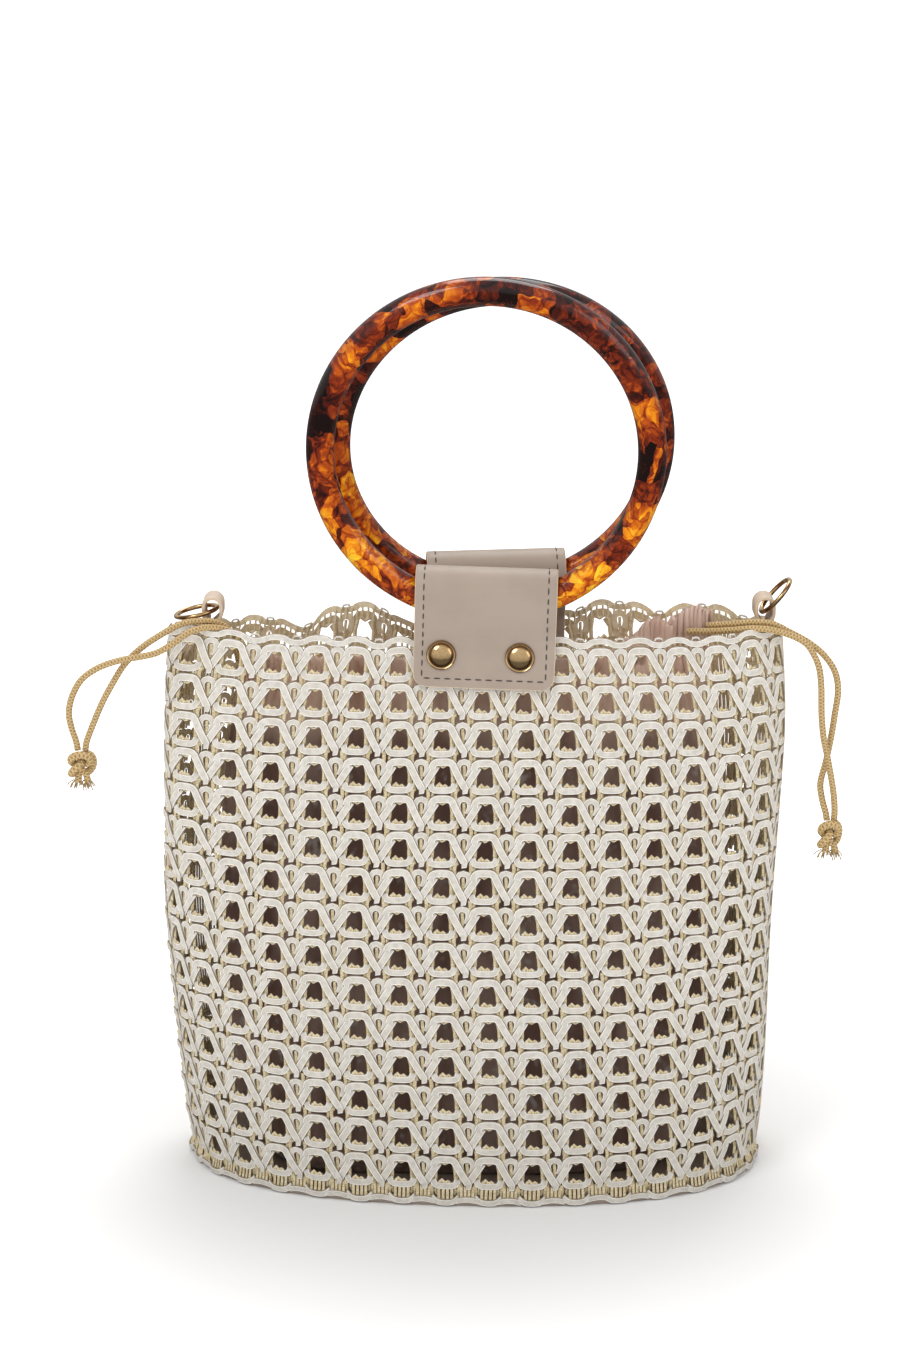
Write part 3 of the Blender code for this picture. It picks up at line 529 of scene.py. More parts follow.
def satin_look():
    """Pinkish satin at the gathered neck, brown lining cloth below it with painted grey sheen in
    patches; both darker in the low parts of the folds, as painted shade.
    """
    look = Look("pouch_satin", srgb(198, 168, 152), 0.42, Sheen_Weight=0.25)
    place = look.place()
    _, _, height = look.parts(place)
    weave = look.noise(look.scaled(place, (1.0, 1.0, 4.0)), 1800.0, 2.0)
    fold_bumps_and_shade = look.noise(look.scaled(place, (1.0, 1.0, 0.3)), 60.0, 3.0)
    crease_bumps_and_sheen = look.noise(look.scaled(place, (1.0, 1.0, 0.8)), 170.0, 2.0)
    neck = (height + fold_bumps_and_shade * 0.016).step(0.196, 0.222)
    # Painted shade: both cloths darker where the fold bumps sink.
    lining = look.mix(fold_bumps_and_shade.step(0.38, 0.66), srgb(126, 96, 85), srgb(166, 142, 132))
    # Painted sheen: pale grey patches on the raised creases of the lining.
    lining = look.mix(crease_bumps_and_sheen.step(0.58, 0.76) * 0.7, lining, srgb(198, 192, 190))
    satin = look.mix(fold_bumps_and_shade.step(0.3, 0.7), srgb(206, 170, 152), srgb(238, 212, 196))
    look.feed("Base Color", look.mix(neck, lining, satin))
    look.feed("Roughness", 0.32 + weave * 0.2)
    look.bump(weave * 0.2 + fold_bumps_and_shade + crease_bumps_and_sheen * 0.5, 0.0012, 0.5)
    return look.material


def braid_look():
    """Waxed round braid: strands crossing along the cord, with painted shade between them, from
    UVs in millimetres and turns.
    """
    look = Look("waxed_braid", srgb(178, 148, 96), 0.5)
    along, around, _ = look.parts(look.uv())
    turned = around * (3 * FULL_TURN)
    first, second = (
        (phase.math("SINE") * 0.5 + 0.5) ** 1.5
        for phase in (along * 4.2 + turned, along * 4.2 - turned)
    )
    strands = first.math("MAXIMUM", second)
    tone = look.noise(look.place(), 1400.0, 2.0)
    # Painted shade: darker in the hollows between the strands.
    base = look.mix(strands.step(0.1, 0.8), srgb(146, 112, 64), srgb(212, 180, 124))
    look.feed("Base Color", look.mix(tone * 0.3, base, srgb(232, 206, 156)))
    look.bump(strands, 0.0004, 0.9)
    return look.material


# ---- Modelling helpers


def desk_clear():
    """Back to object mode with nothing selected."""
    if bpy.context.mode != "OBJECT":
        bpy.ops.object.mode_set(mode="OBJECT")
    bpy.ops.object.select_all(action="DESELECT")


def named(name, *looks):
    """Names the object just added and gives it its materials."""
    made = bpy.context.view_layer.objects.active
    made.name = name
    made.data.name = name
    for look in looks:
        made.data.materials.append(look)
    return made


def apply_all(piece):
    """Applies the modifiers and the place, so the object sits at the origin."""
    desk_clear()
    piece.select_set(True)
    bpy.context.view_layer.objects.active = piece
    for modifier in list(piece.modifiers):
        bpy.ops.object.modifier_apply(modifier=modifier.name)
    bpy.ops.object.transform_apply(location=True, rotation=True, scale=True)
    return piece


def outward(piece, merge=1e-6, hole_sides=0):
    """Merges doubles, closes holes of up to so many sides and turns every face outwards."""
    work = bmesh.new()
    work.from_mesh(piece.data)
    bmesh.ops.remove_doubles(work, verts=work.verts, dist=merge)
    if hole_sides:
        rims = [edge for edge in work.edges if edge.is_boundary]
        bmesh.ops.holes_fill(work, edges=rims, sides=hole_sides)
    bmesh.ops.recalc_face_normals(work, faces=work.faces)
    work.to_mesh(piece.data)
    work.free()
    piece.data.update()
    return piece


def smooth(piece, angle):
    """Shades a piece smooth, apart from edges sharper than an angle in degrees."""
    piece.data.shade_smooth()
    piece.data.set_sharp_from_angle(angle=math.radians(angle))
    return piece


def thickened(piece, thickness, bevel, segments):
    """Gives a flat leather piece its thickness and its rolled, painted edges."""
    thick = piece.modifiers.new("leather_thickness", "SOLIDIFY")
    thick.thickness = thickness
    thick.offset = 0.0
    thick.material_offset_rim = 1
    edge = piece.modifiers.new("rolled_edge", "BEVEL")
    edge.width = bevel
    edge.segments = segments
    edge.limit_method = "ANGLE"
    edge.angle_limit = math.radians(50)
    return apply_all(piece)


def bent(piece, placed):
    """Moves a flat piece's points to where placed() puts them."""
    flat = np.empty(len(piece.data.vertices) * 3)
    piece.data.vertices.foreach_get("co", flat)
    piece.data.vertices.foreach_set("co", placed(flat.reshape(-1, 3)).ravel())
    return smooth(outward(piece), 60.0)


def loops_between(first, second):
    """Faces between two closed rows of points, given by their point numbers."""
    return np.column_stack([first, np.roll(first, -1), np.roll(second, -1), second])


def mesh_piece(name, points, quads, looks, uv=None, slots=None):
    """An object from arrays of points and quads, for the many small strands of a weave."""
    mesh = bpy.data.meshes.new(name)
    mesh.vertices.add(len(points))
    mesh.vertices.foreach_set("co", np.ascontiguousarray(points, np.float32).ravel())
    mesh.loops.add(len(quads) * 4)
    mesh.loops.foreach_set("vertex_index", np.ascontiguousarray(quads, np.int32).ravel())
    mesh.polygons.add(len(quads))
    mesh.polygons.foreach_set("loop_start", np.arange(len(quads), dtype=np.int32) * 4)
    if slots is not None:
        mesh.polygons.foreach_set("material_index", np.ascontiguousarray(slots, np.int32))
    mesh.update(calc_edges=True)
    mesh.validate()
    if uv is not None:
        layer = mesh.uv_layers.new(name="UVMap")
        index = np.empty(len(mesh.loops), np.int32)
        mesh.loops.foreach_get("vertex_index", index)
        layer.data.foreach_set("uv", np.ascontiguousarray(uv, np.float32)[index].ravel())
    for look in looks:
        mesh.materials.append(look)
    mesh.shade_smooth()
    made = bpy.data.objects.new(name, mesh)
    bpy.context.scene.collection.objects.link(made)
    return made


def table_value(rows, columns, name, share):
    """Reads a table's column at a height share along a smooth curve through its rows."""
    place = columns.index(name)
    heights = [row[0] for row in rows]
    values = [row[place] for row in rows]
    step = int(np.clip(np.searchsorted(heights, share, side="right") - 1, 0, len(rows) - 2))
    low, high = max(step - 1, 0), min(step + 2, len(rows) - 1)
    span = heights[step + 1] - heights[step]
    t = (share - heights[step]) / span
    slope_a = (values[step + 1] - values[low]) / (heights[step + 1] - heights[low]) * span
    slope_b = (values[high] - values[step]) / (heights[high] - heights[step]) * span
    return (
        (2 * t**3 - 3 * t**2 + 1) * values[step]
        + (t**3 - 2 * t**2 + t) * slope_a
        + (3 * t**2 - 2 * t**3) * values[step + 1]
        + (t**3 - t**2) * slope_b
    )


def smooth_route(points, count=None, spacing=None):
    """Points on a smooth curve through the route, evenly spaced."""
    points = [np.array(point, float) for point in points]
    padded = [points[0] * 2 - points[1], *points, points[-1] * 2 - points[-2]]
    dense = []
    for a, b, c, d in zip(padded, padded[1:], padded[2:], padded[3:]):
        for k in range(24):
            t = k / 24
            dense.append(
                0.5
                * (
                    2 * b
                    + (c - a) * t
                    + (2 * a - 5 * b + 4 * c - d) * t**2
                    + (3 * b - a - 3 * c + d) * t**3
                )
            )
    dense.append(points[-1])
    dense = np.array(dense)
    run = np.concatenate([[0.0], np.cumsum(np.linalg.norm(np.diff(dense, axis=0), axis=1))])
    if count is None:
        count = max(round(run[-1] / spacing), 2) + 1
    wanted = np.linspace(0.0, run[-1], count)
    return np.column_stack([np.interp(wanted, run, dense[:, k]) for k in range(dense.shape[1])])


# ---- Body surface


def outline(share):
    """Points and outward normals round the weave's outer face from the left seam by the front."""
    angles = math.pi + np.arange(OUTLINE_STEPS) * (FULL_TURN / OUTLINE_STEPS)
    cosine, sine = np.cos(angles), np.sin(angles)
    power = 2 / table_value(BODY_SECTIONS, BODY_COLUMNS, "squareness", share)
    across = np.sign(cosine) * np.abs(cosine) ** power
    along = np.sign(sine) * np.abs(sine) ** power
    value = {
        name: table_value(BODY_SECTIONS, BODY_COLUMNS, name, share) for name in BODY_COLUMNS[1:5]
    }
    right, back = cosine > 0, sine > 0
    x = BAG_HALF_WIDTH * np.where(right, value["right"], value["left"]) * across
    y = BASE_HALF_DEPTH * np.where(back, value["back"], value["front"]) * along
    pinch = np.where(
        right,
        RIGHT_PINCH * table_value(PINCH_SHARES, PINCH_COLUMNS, "right", share),
        LEFT_PINCH * table_value(PINCH_SHARES, PINCH_COLUMNS, "left", share),
    )
    x = x - np.sign(cosine) * pinch * np.exp(-((y / PINCH_REACH) ** 2))
    turn = np.tan(np.where(back, BACK_TURN, FRONT_TURN))
    y = y + np.abs(along) * x * turn - SEAM_LEAD * (1 - np.abs(along)) * across
    points = np.column_stack([x, y])
    ahead = np.roll(points, -4, axis=0) - np.roll(points, 4, axis=0)
    normals = np.column_stack([ahead[:, 1], -ahead[:, 0]])
    normals /= np.linalg.norm(normals, axis=1)[:, None]
    return np.vstack([points, points[:1]]), np.vstack([normals, normals[:1]])


class Surface:
    """The body surface, sampled once and read at any height and place along a panel."""

    def __init__(self):
        self.heights = np.linspace(-0.01, 1.03, 105)
        self.samples = OUTLINE_STEPS + 1
        self.points = {}
        self.normals = {}
        edge = STRIP_WIDTH / 2
        for wall in ("front", "back", "left", "right"):
            self.points[wall] = np.zeros((len(self.heights), self.samples, 2))
            self.normals[wall] = np.zeros((len(self.heights), self.samples, 2))
        for row, share in enumerate(self.heights):
            points, normals = outline(min(max(share, 0.0), 1.0))
            steps = np.linalg.norm(np.diff(points, axis=0), axis=1)
            length = np.concatenate([[0.0], np.cumsum(steps)])
            middle, total = length[len(points) // 2], length[-1]
            ranges = {
                "front": (edge - FRONT_WRAP * (middle - 2 * edge), middle - edge),
                "back": (middle + edge, total - edge),
                "left": (-edge, edge),
                "right": (middle - edge, middle + edge),
            }
            for wall, (start, end) in ranges.items():
                run = np.linspace(start, end, self.samples) % total
                inset = self.dents(wall, run, middle, total, share)
                found = np.column_stack([np.interp(run, length, points[:, k]) for k in (0, 1)])
                normal = np.column_stack([np.interp(run, length, normals[:, k]) for k in (0, 1)])
                normal /= np.linalg.norm(normal, axis=1)[:, None]
                self.points[wall][row] = found - normal * inset[:, None]
                self.normals[wall][row] = normal

    def dents(self, wall, run, middle, total, share):
        depth = np.zeros(len(run))
        halves = ((FRONT_DENTS, run / middle, run < middle),)
        halves += ((BACK_DENTS, (run - middle) / (total - middle), run >= middle),)
        for dents, along, mask in halves:
            for centre, height, along_reach, height_reach, slant, deep in dents:
                rise = (share - height) / height_reach
                across = (along - centre - slant * (share - height)) / along_reach
                hollow = deep * BASE_HALF_DEPTH * np.exp(-(across**2) - rise**2)
                depth += np.where(mask, hollow, 0.0)
        return depth

    def at(self, wall, along, share, inset):
        """World points for places along a panel, height shares and insets.

        The places run from 0 to 1, on the front from -FRONT_WRAP.
        """
        row = (share - self.heights[0]) / (self.heights[1] - self.heights[0])
        row = np.clip(row, 0, len(self.heights) - 1.001)
        if wall == "front":
            along = (along + FRONT_WRAP) / (1 + FRONT_WRAP)
        column = along * (self.samples - 1)
        column = np.clip(column, 0, self.samples - 1.001)
        i, j = row.astype(int), column.astype(int)
        a, b = (row - i)[:, None], (column - j)[:, None]

        def read(grid):
            return (
                grid[i, j] * (1 - a) * (1 - b)
                + grid[i + 1, j] * a * (1 - b)
                + grid[i, j + 1] * (1 - a) * b
                + grid[i + 1, j + 1] * a * b
            )

        place, normal = read(self.points[wall]), read(self.normals[wall])
        flat = place - normal * inset[:, None]
        return np.column_stack([flat, share * BAG_HEIGHT])


surface = Surface()


# ---- Weave


# Material slots of a wall.
RIBBON, THREAD, UNDERSIDE = 0, 1, 2

# Corners of a strand's section: across, up, and the share round it.
THREAD_SECTION = ((-0.5, 0.0, 0.0), (0.0, 0.5, 0.25), (0.5, 0.0, 0.5), (0.0, -0.5, 0.75))
RIBBON_SECTION = ((-0.5, -0.3, 0.0), (-0.42, 0.5, 0.10), (0.42, 0.5, 0.90), (0.5, -0.3, 1.0))


def strand(route, width, thick, level, stations, slot, round_section=False):
    """One strand of the net, flat in its cell: points, quads, UVs and material slot."""
    line = smooth_route(route, stations)
    ahead = np.gradient(line[:, :2], axis=0)
    ahead /= np.linalg.norm(ahead, axis=1)[:, None]
    side = np.column_stack([-ahead[:, 1], ahead[:, 0]])
    section = THREAD_SECTION if round_section else RIBBON_SECTION
    across, up, around = np.array(section).T
    count = len(section)
    run = np.concatenate([[0.0], np.cumsum(np.linalg.norm(np.diff(line[:, :2], axis=0), axis=1))])
    spread = side[:, None, :] * (across * width)[None, :, None]
    flat = (line[:, None, :2] + spread).reshape(-1, 2)
    rise = (level + line[:, 2:3] + up[None, :] * thick).reshape(-1, 1)
    points = np.hstack([flat, rise])
    uv = np.column_stack([np.repeat(run, count), np.tile(around, stations)])
    quads, slots = [], []
    for k in range(stations - 1):
        for j in range(4):
            i = (j + 1) % 4
            quads.append((k * 4 + j, (k + 1) * 4 + j, (k + 1) * 4 + i, k * 4 + i))
            slots.append(UNDERSIDE if j == 3 and not round_section else slot)
    last = (stations - 1) * 4
    quads += [(0, 1, 2, 3), (last + 3, last + 2, last + 1, last)]
    slots += [slot, slot]
    return points, np.array(quads), uv, np.array(slots)


def yarn(route, width, thick, level, stations):
    """A round strand of thread."""
    return strand(route, width, thick, level, stations, THREAD, True)


def joined(parts):
    """Several strands as one, with the points numbered on."""
    points, quads, uv, slots = [], [], [], []
    offset = 0
    for part in parts:
        points.append(part[0])
        quads.append(part[1] + offset)
        uv.append(part[2])
        slots.append(part[3])
        offset += len(part[0])
    return np.vstack(points), np.vstack(quads), np.vstack(uv), np.concatenate(slots)


def with_lift(route):
    """A flat route's points with no lift of their own."""
    return [(x, y, 0.0) for x, y in route]


def mirrored(route, middle=0.0):
    """A route to x = 0 and back down its mirror image, moved along the row."""
    whole = route + [(-x, y, lift) for x, y, lift in route[-2::-1]]
    return [(x + middle, y, lift) for x, y, lift in whole]


def cell_strands():
    """The net's repeat, centred on a hole: x along the row, y up, in millimetres."""
    wide, thick = RIBBON_WIDTH, RIBBON_THICK
    half = CELL_WIDTH / 2
    arch = [
        (-4.6, 2.8, -0.4), (-4.2, 4.6, -0.1), (-3.0, 5.6, 0.1), (0.0, 5.9, 0.15), (2.9, 5.7, 0.1),
        (4.1, 4.8, 0.0), (4.9, 3.3, 0.0), (7.2, -1.0, 0.0), (9.5, -4.8, 0.0), (9.8, -6.0, -0.1),
        (8.6, -6.1, -0.4),
    ]
    rising = [(-8.6, -5.3, -0.6), (-6.8, -2.3, -0.1), (-4.8, 0.8, -0.1), (-2.7, 4.0, -0.6)]
    crook = [
        (half - 1.7, -0.6, -0.5), (half - 2.6, 2.4, -0.2), (half - 2.1, 4.9, 0.0),
        (half, 5.9, 0.1), (half + 2.1, 4.9, 0.0), (half + 2.6, 2.4, -0.2),
        (half + 1.7, -0.6, -0.5),
    ]
    cup = [
        (-5.1, -3.4, -0.7), (-4.6, -5.0, -0.2), (-3.4, -5.85, 0.0), (0.0, -6.05, 0.1),
        (3.4, -5.85, 0.0), (4.6, -5.0, -0.2), (5.2, -3.4, -0.7),
    ]
    parts = [
        strand(arch, wide, thick, -0.75, 23, RIBBON),
        strand(rising, wide, thick, -1.0, 5, RIBBON),
        strand(crook, wide * 0.78, thick, -1.35, 11, RIBBON),
        strand(cup, wide * 0.9, thick, -1.25, 12, RIBBON),
    ]
    threads = [
        (((-3.3, 4.0), (-4.2, -0.2), (-4.3, -4.0)), 1.9, -2.2),
        (((3.6, 4.0), (4.5, -0.2), (4.5, -4.0)), 1.9, -2.2),
        (((half, 4.2), (half + 0.2, 1.0), (half, -2.8)), 1.4, -1.7),
        (((half - 2.2, -2.0), (half - 3.0, -4.4), (half - 2.4, -6.6)), 1.4, -1.9),
        (((-1.9, 4.8), (0.0, 3.7), (1.9, 4.8)), 1.5, -1.3),
        (((-2.3, -4.7), (-1.3, -3.5), (-0.4, -4.7)), 1.7, -1.2),
        (((0.2, -4.8), (1.0, -4.1), (1.9, -4.9)), 1.4, -1.4),
    ]
    for side in (-1.0, 1.0):
        x = half + side * 3.2
        threads.append((((x, -5.4), (x + side * 0.35, -8.3), (x, -11.2)), 1.6, -1.4))
        threads.append((((side * 3.6, -6.4), (side * 4.1, -8.2), (side * 3.6, -10.2)), 1.4, -1.8))
    for route, width, level in threads:
        parts.append(yarn(with_lift(route), width, width * 0.85, level, 3))
    return joined(parts)


def rim_strands():
    """The edge above the top row: overlapping ribbons over short upright threads."""
    half = CELL_WIDTH / 2
    high = mirrored([(-5.8, 8.6, -0.4), (-3.6, 9.9, 0.1), (0.0, 10.4, 0.2)])
    low = mirrored([(-5.4, 9.6, -0.5), (-3.2, 8.6, 0.0), (0.0, 8.2, 0.1)], half)
    parts = [strand(high, 2.7, 0.9, -0.6, 8, RIBBON), strand(low, 2.7, 0.9, -0.8, 8, RIBBON)]
    for x in (-3.9, -1.4, 1.4, 3.9, half - 2.6, half, half + 2.6):
        parts.append(yarn(with_lift([(x, 4.9), (x * 0.98, 9.4)]), 1.05, 1.0, -1.7, 2))
    loop = [(half - 1.9, 9.4), (half - 1.2, 10.6), (half + 1.2, 10.6), (half + 1.9, 9.4)]
    parts.append(strand(with_lift(loop), 1.0, 0.9, -1.5, 5, RIBBON, True))
    return joined(parts)


def foot_strands():
    """Below the bottom row: short thread stubs and the binding ribbon over the base's edge."""
    half = CELL_WIDTH / 2
    parts = []
    for x in (-2.7, -0.9, 0.9, 2.7, half - 2.4, half - 0.8, half + 0.8, half + 2.4):
        route = [(x, -6.2, -1.5), (x, -8.4, -0.6), (x, -11.0, 0.9)]
        parts.append(yarn(route, 1.2, 1.0, 0.0, 3))
    deep = mirrored([(-5.8, -10.4, 0.2), (-3.6, -11.9, 1.5), (0.0, -12.4, 1.8)])
    shallow = mirrored([(-5.0, -12.2, 0.6), (-2.4, -11.3, 1.2), (0.0, -11.0, 1.4)], half)
    parts.append(strand(deep, 2.7, 1.0, 0.0, 8, RIBBON))
    parts.append(strand(shallow, 2.6, 1.0, 0.0, 8, RIBBON))
    return joined(parts)


def lining_strands():
    """Floats on the reverse of a hole, where the net doubles up at the seams."""
    parts = []
    for k in range(-4, 5):
        x = k * 1.6
        route = [(x, 7.6, 0.0), (x * 1.05, 0.0, 0.2), (x, -7.6, 0.0)]
        parts.append(yarn(route, 1.5, 1.1, -2.2, 3))
    return joined(parts)


def rim_wave(wall, along):
    """How far the rim stands above or below its even height, in millimetres."""
    total = np.zeros(len(along))
    for centre, reach, rise in RIM_WAVES[wall]:
        total += rise * np.exp(-np.abs((along - centre) / reach) ** 3)
    return total


def weave(wall, ribbon, thread, underside):
    """One woven wall: the cell repeated along every row and wrapped on the body surface."""
    rng = np.random.default_rng(7 if wall == "front" else 11)
    cell, rim, foot, lining = cell_strands(), rim_strands(), foot_strands(), lining_strands()
    points, quads, uvs, slots = [], [], [], []
    offset = 0
    start = -FRONT_WRAP if wall == "front" else 0.0
    for row in range(ROWS):
        motifs = [cell]
        if row == 0:
            motifs.append(rim)
        if row == ROWS - 1:
            motifs.append(foot)
        middle = TOP_HOLE_HEIGHT - row * CELL_HEIGHT
        drift, left, right = (
            table_value(COLUMN_DRIFT, DRIFT_COLUMNS, name, middle * MM / BAG_HEIGHT)
            for name in DRIFT_COLUMNS[1:]
        )
        for column in range(-2, COLUMNS):
            shift = rng.normal(0.0, LOOSENESS, 2)
            tip = rng.normal(0.0, LOOSE_TIP)
            doubled = wall == "back" and not 2 <= column <= COLUMNS - 3
            for place, faces, uv, slot in motifs + ([lining] if doubled else []):
                x, y, level = place.T
                turned_x = x * math.cos(tip) - y * math.sin(tip) + shift[0]
                turned_y = y * math.cos(tip) + x * math.sin(tip) + shift[1]
                count = column + turned_x / CELL_WIDTH
                count = count + 0.5 + drift
                past_left = np.maximum(count - 0.5 - drift, -2.0)
                count += left * np.exp(-past_left / BUNCHING["left"])
                past_right = np.maximum(COLUMNS - 1.5 + drift - count, -2.0)
                count += right * np.exp(-past_right / BUNCHING["right"])
                along = np.clip(count / COLUMNS, start, 1.0)
                inside = (along > start) & (along < 1.0)
                keep = inside[faces].any(axis=1)
                if not keep.any():
                    continue
                height = middle + turned_y
                waved = np.clip((height - WAVES_FROM) / WAVES_OVER, 0.0, 1.0) ** 1.5
                height = height + rim_wave(wall, along) * waved
                share = np.maximum(height, 0.5 + 0.05 * level) * MM / BAG_HEIGHT
                over_strip = np.clip((0.012 - along) / 0.025, 0.0, 1.0) * (wall == "front")
                out = (level + OVER_STRIP_RISE * over_strip) * MM
                points.append(surface.at(wall, along, share, -out))
                quads.append(faces[keep] + offset)
                uvs.append(uv)
                slots.append(slot[keep])
                offset += len(place)
    made = mesh_piece(
        "straw_weave_" + wall,
        np.vstack(points),
        np.vstack(quads),
        (ribbon, thread, underside),
        np.vstack(uvs),
        np.concatenate(slots),
    )
    made.data.set_sharp_from_angle(angle=math.radians(42))
    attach(made, "bag")
    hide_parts("weave_" + wall)
    return made


# ---- Leather


def softened(path, count):
    """A path with its corners cut off again and again."""
    for _ in range(count):
        cut = [path[0]]
        for a, b in zip(path[:-1], path[1:]):
            cut.append((a[0] * 0.75 + b[0] * 0.25, a[1] * 0.75 + b[1] * 0.25))
            cut.append((a[0] * 0.25 + b[0] * 0.75, a[1] * 0.25 + b[1] * 0.75))
        cut.append(path[-1])
        path = cut
    return path


def arc_path(centre, radius, start, end, count):
    """Points along an arc."""
    angles = [start + (end - start) * k / (count - 1) for k in range(count)]
    return [(centre[0] + radius * math.cos(a), centre[1] + radius * math.sin(a)) for a in angles]


def wall_across(wall, share, x):
    """Y of the weave's outer face at this x."""
    points, _ = outline(share)
    half = OUTLINE_STEPS // 2
    keep = points[: half + 1] if wall == "front" else points[half:]
    order = np.argsort(keep[:, 0])
    return float(np.interp(x, keep[order, 0], keep[order, 1]))


def tab_frame(wall):
    """Where a tab's drawing plane stands: at the ring's foot, turned as the wall is."""
    facing = 1.0 if wall == "front" else -1.0
    turned = Matrix.Rotation(RING_TURN[wall], 4, "Z") @ Matrix.Rotation(TAB_ROLL[wall], 4, "Y")
    return Matrix.Translation(RING_FOOT[wall]) @ turned @ Matrix.Diagonal((1.0, facing, 1.0, 1.0))


def tab_legs(wall):
    """The middle of the weave between the tab's legs, at the rim and at the legs' feet."""
    foot = RING_FOOT[wall]
    facing = 1.0 if wall == "front" else -1.0
    places = []
    for z in (BAG_HEIGHT, foot[2] - TAB_DROP):
        y = wall_across(wall, min(z / BAG_HEIGHT, 0.9999), foot[0]) + facing * WEAVE_THICKNESS / 2
        places.append(((y - foot[1]) * facing, z - foot[2]))
    return places


def tab_path(wall):
    """Mid line of the folded band, from the outer leg's foot over the ring to the inner leg's."""
    lean = -RING_LEAN[wall] if wall == "front" else RING_LEAN[wall]
    up = Vector((math.sin(lean), math.cos(lean)))
    across = Vector((math.cos(lean), -math.sin(lean)))
    reach = RING_TUBE + TAB_RING_CLEARANCE + TAB_THICKNESS / 2
    fold = up * TAB_FOLD_RISE
    (rim_y, rim_z), (foot_y, foot_z) = tab_legs(wall)
    spread = WEAVE_THICKNESS / 2 + TAB_WALL_CLEARANCE + TAB_THICKNESS / 2
    slope = (rim_y - foot_y) / (rim_z - foot_z)
    below = TAB_THICKNESS
    outer = [
        (foot_y - spread, foot_z),
        (rim_y - spread - below * slope, rim_z - below),
        (rim_y - spread, rim_z + TAB_THICKNESS / 2),
        tuple(-across * reach - up * RING_TUBE * 0.3),
        tuple(fold - across * reach),
    ]
    inner = [
        tuple(fold + across * reach),
        tuple(across * reach - up * RING_TUBE / 2),
        (rim_y + spread, rim_z - 0.0003),
        (rim_y + spread - below * slope, rim_z - below),
        (foot_y + spread, foot_z),
    ]
    start = math.atan2(-across.y, -across.x)
    crown = arc_path(fold, reach, start, start - math.pi, 17)
    return softened(outer, 3) + crown[1:-1] + softened(inner, 3)


def band_point(path, run, offset):
    """A point at a distance along a band's mid line, raised by offset along its left-hand side."""
    steps = np.linalg.norm(np.diff(path, axis=0), axis=1)
    length = np.concatenate([[0.0], np.cumsum(steps)])
    run = np.clip(run, 0.0, length[-1])
    place = np.array([np.interp(run, length, path[:, k]) for k in (0, 1)])
    reach = 0.0006
    a = np.array([np.interp(max(run - reach, 0.0), length, path[:, k]) for k in (0, 1)])
    b = np.array([np.interp(min(run + reach, length[-1]), length, path[:, k]) for k in (0, 1)])
    ahead = (b - a) / np.linalg.norm(b - a)
    return place + np.array([-ahead[1], ahead[0]]) * offset, length[-1]


def folded_band(name, path, size, place, looks, steps=(12, 96)):
    """A flat strap cut with round corners, given its thickness and folded along a path."""
    width, thickness, corner = size
    path = np.array(path)
    total = band_point(path, 0.0, 0.0)[1]
    desk_clear()
    bpy.ops.mesh.primitive_grid_add(x_subdivisions=steps[0], y_subdivisions=steps[1], size=1.0)
    band = named(name, *looks)
    work = bmesh.new()
    work.from_mesh(band.data)
    for vert in work.verts:
        run = (vert.co.y + 0.5) * total
        near = min(run, total - run)
        edge = max(corner - near, 0.0)
        cut = corner - math.sqrt(max(corner**2 - edge**2, 0.0)) if corner else 0.0
        vert.co = Vector((vert.co.x * (width - 2 * cut), run, 0.0))
    work.to_mesh(band.data)
    work.free()
    thickened(band, thickness, thickness * 0.28, 3)

    def folded(flat):
        return np.array(
            [place @ Vector((x, *band_point(path, run, level)[0])) for x, run, level in flat]
        )

    return bent(band, folded)


def stitches(name, path, size, place, look):
    """A line of stitches on the outer face, a little way in from the band's edges."""
    width, thickness, inset, pitch = size
    path = np.array(path)
    total = band_point(path, 0.0, 0.0)[1]
    reach = total / 2 - 0.004
    count = int(reach / pitch)
    lines = []
    for side in (-1, 1):
        x = side * (width / 2 - inset)
        for k in range(count * 2 + 1):
            run = inset + pitch * (k + 0.2)
            if run < total - inset:
                lines.append(((x, run), (x, run + pitch * 0.62)))
    for foot in (inset, total - inset):
        across = int((width - 2 * inset) / pitch)
        step = (width - 2 * inset) / across
        for k in range(across):
            x = -width / 2 + inset + step * (k + 0.2)
            lines.append(((x, foot), (x + step * 0.62, foot)))
    points, quads = [], []
    half = 0.0003
    for (xa, ra), (xb, rb) in lines:
        base = len(points)
        for t in (0.0, 0.5, 1.0):
            x, run = xa + (xb - xa) * t, ra + (rb - ra) * t
            rise = thickness / 2 + (0.00012 if t == 0.5 else -0.0001)
            dx, dr = (half, 0.0) if xa == xb else (0.0, half)
            for sx, lift in ((-1, 0.0), (0, 0.00022), (1, 0.0)):
                (y, z), _ = band_point(path, run + dr * sx, rise + lift)
                points.append(place @ Vector((x + dx * sx, y, z)))
            (y, z), _ = band_point(path, run, rise - 0.0003)
            points.append(place @ Vector((x, y, z)))
        for k in range(2):
            a, b = base + k * 4, base + (k + 1) * 4
            for j in range(4):
                i = (j + 1) % 4
                quads.append((a + j, a + i, b + i, b + j))
        quads.append((base, base + 3, base + 2, base + 1))
        end = base + 8
        quads.append((end, end + 1, end + 2, end + 3))
    made = mesh_piece(name, np.array([tuple(p) for p in points]), np.array(quads), (look,))
    return outward(made)


def handle_tab(wall, leather, edge, thread):
    """Leather band folded over a ring and down both sides of the rim, with its stitches."""
    place = tab_frame(wall)
    path = tab_path(wall)
    name = "leather_tab_" + wall
    size = (TAB_WIDTH, TAB_THICKNESS, TAB_CORNER)
    band = folded_band(name, path, size, place, (leather, edge))
    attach(band, "bag")
    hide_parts("handle_tab_" + wall)
    size = (TAB_WIDTH, TAB_THICKNESS, STITCH_INSET, STITCH_PITCH)
    sewn = stitches("tab_stitches_" + wall, path, size, place, thread)
    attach(sewn, "bag")


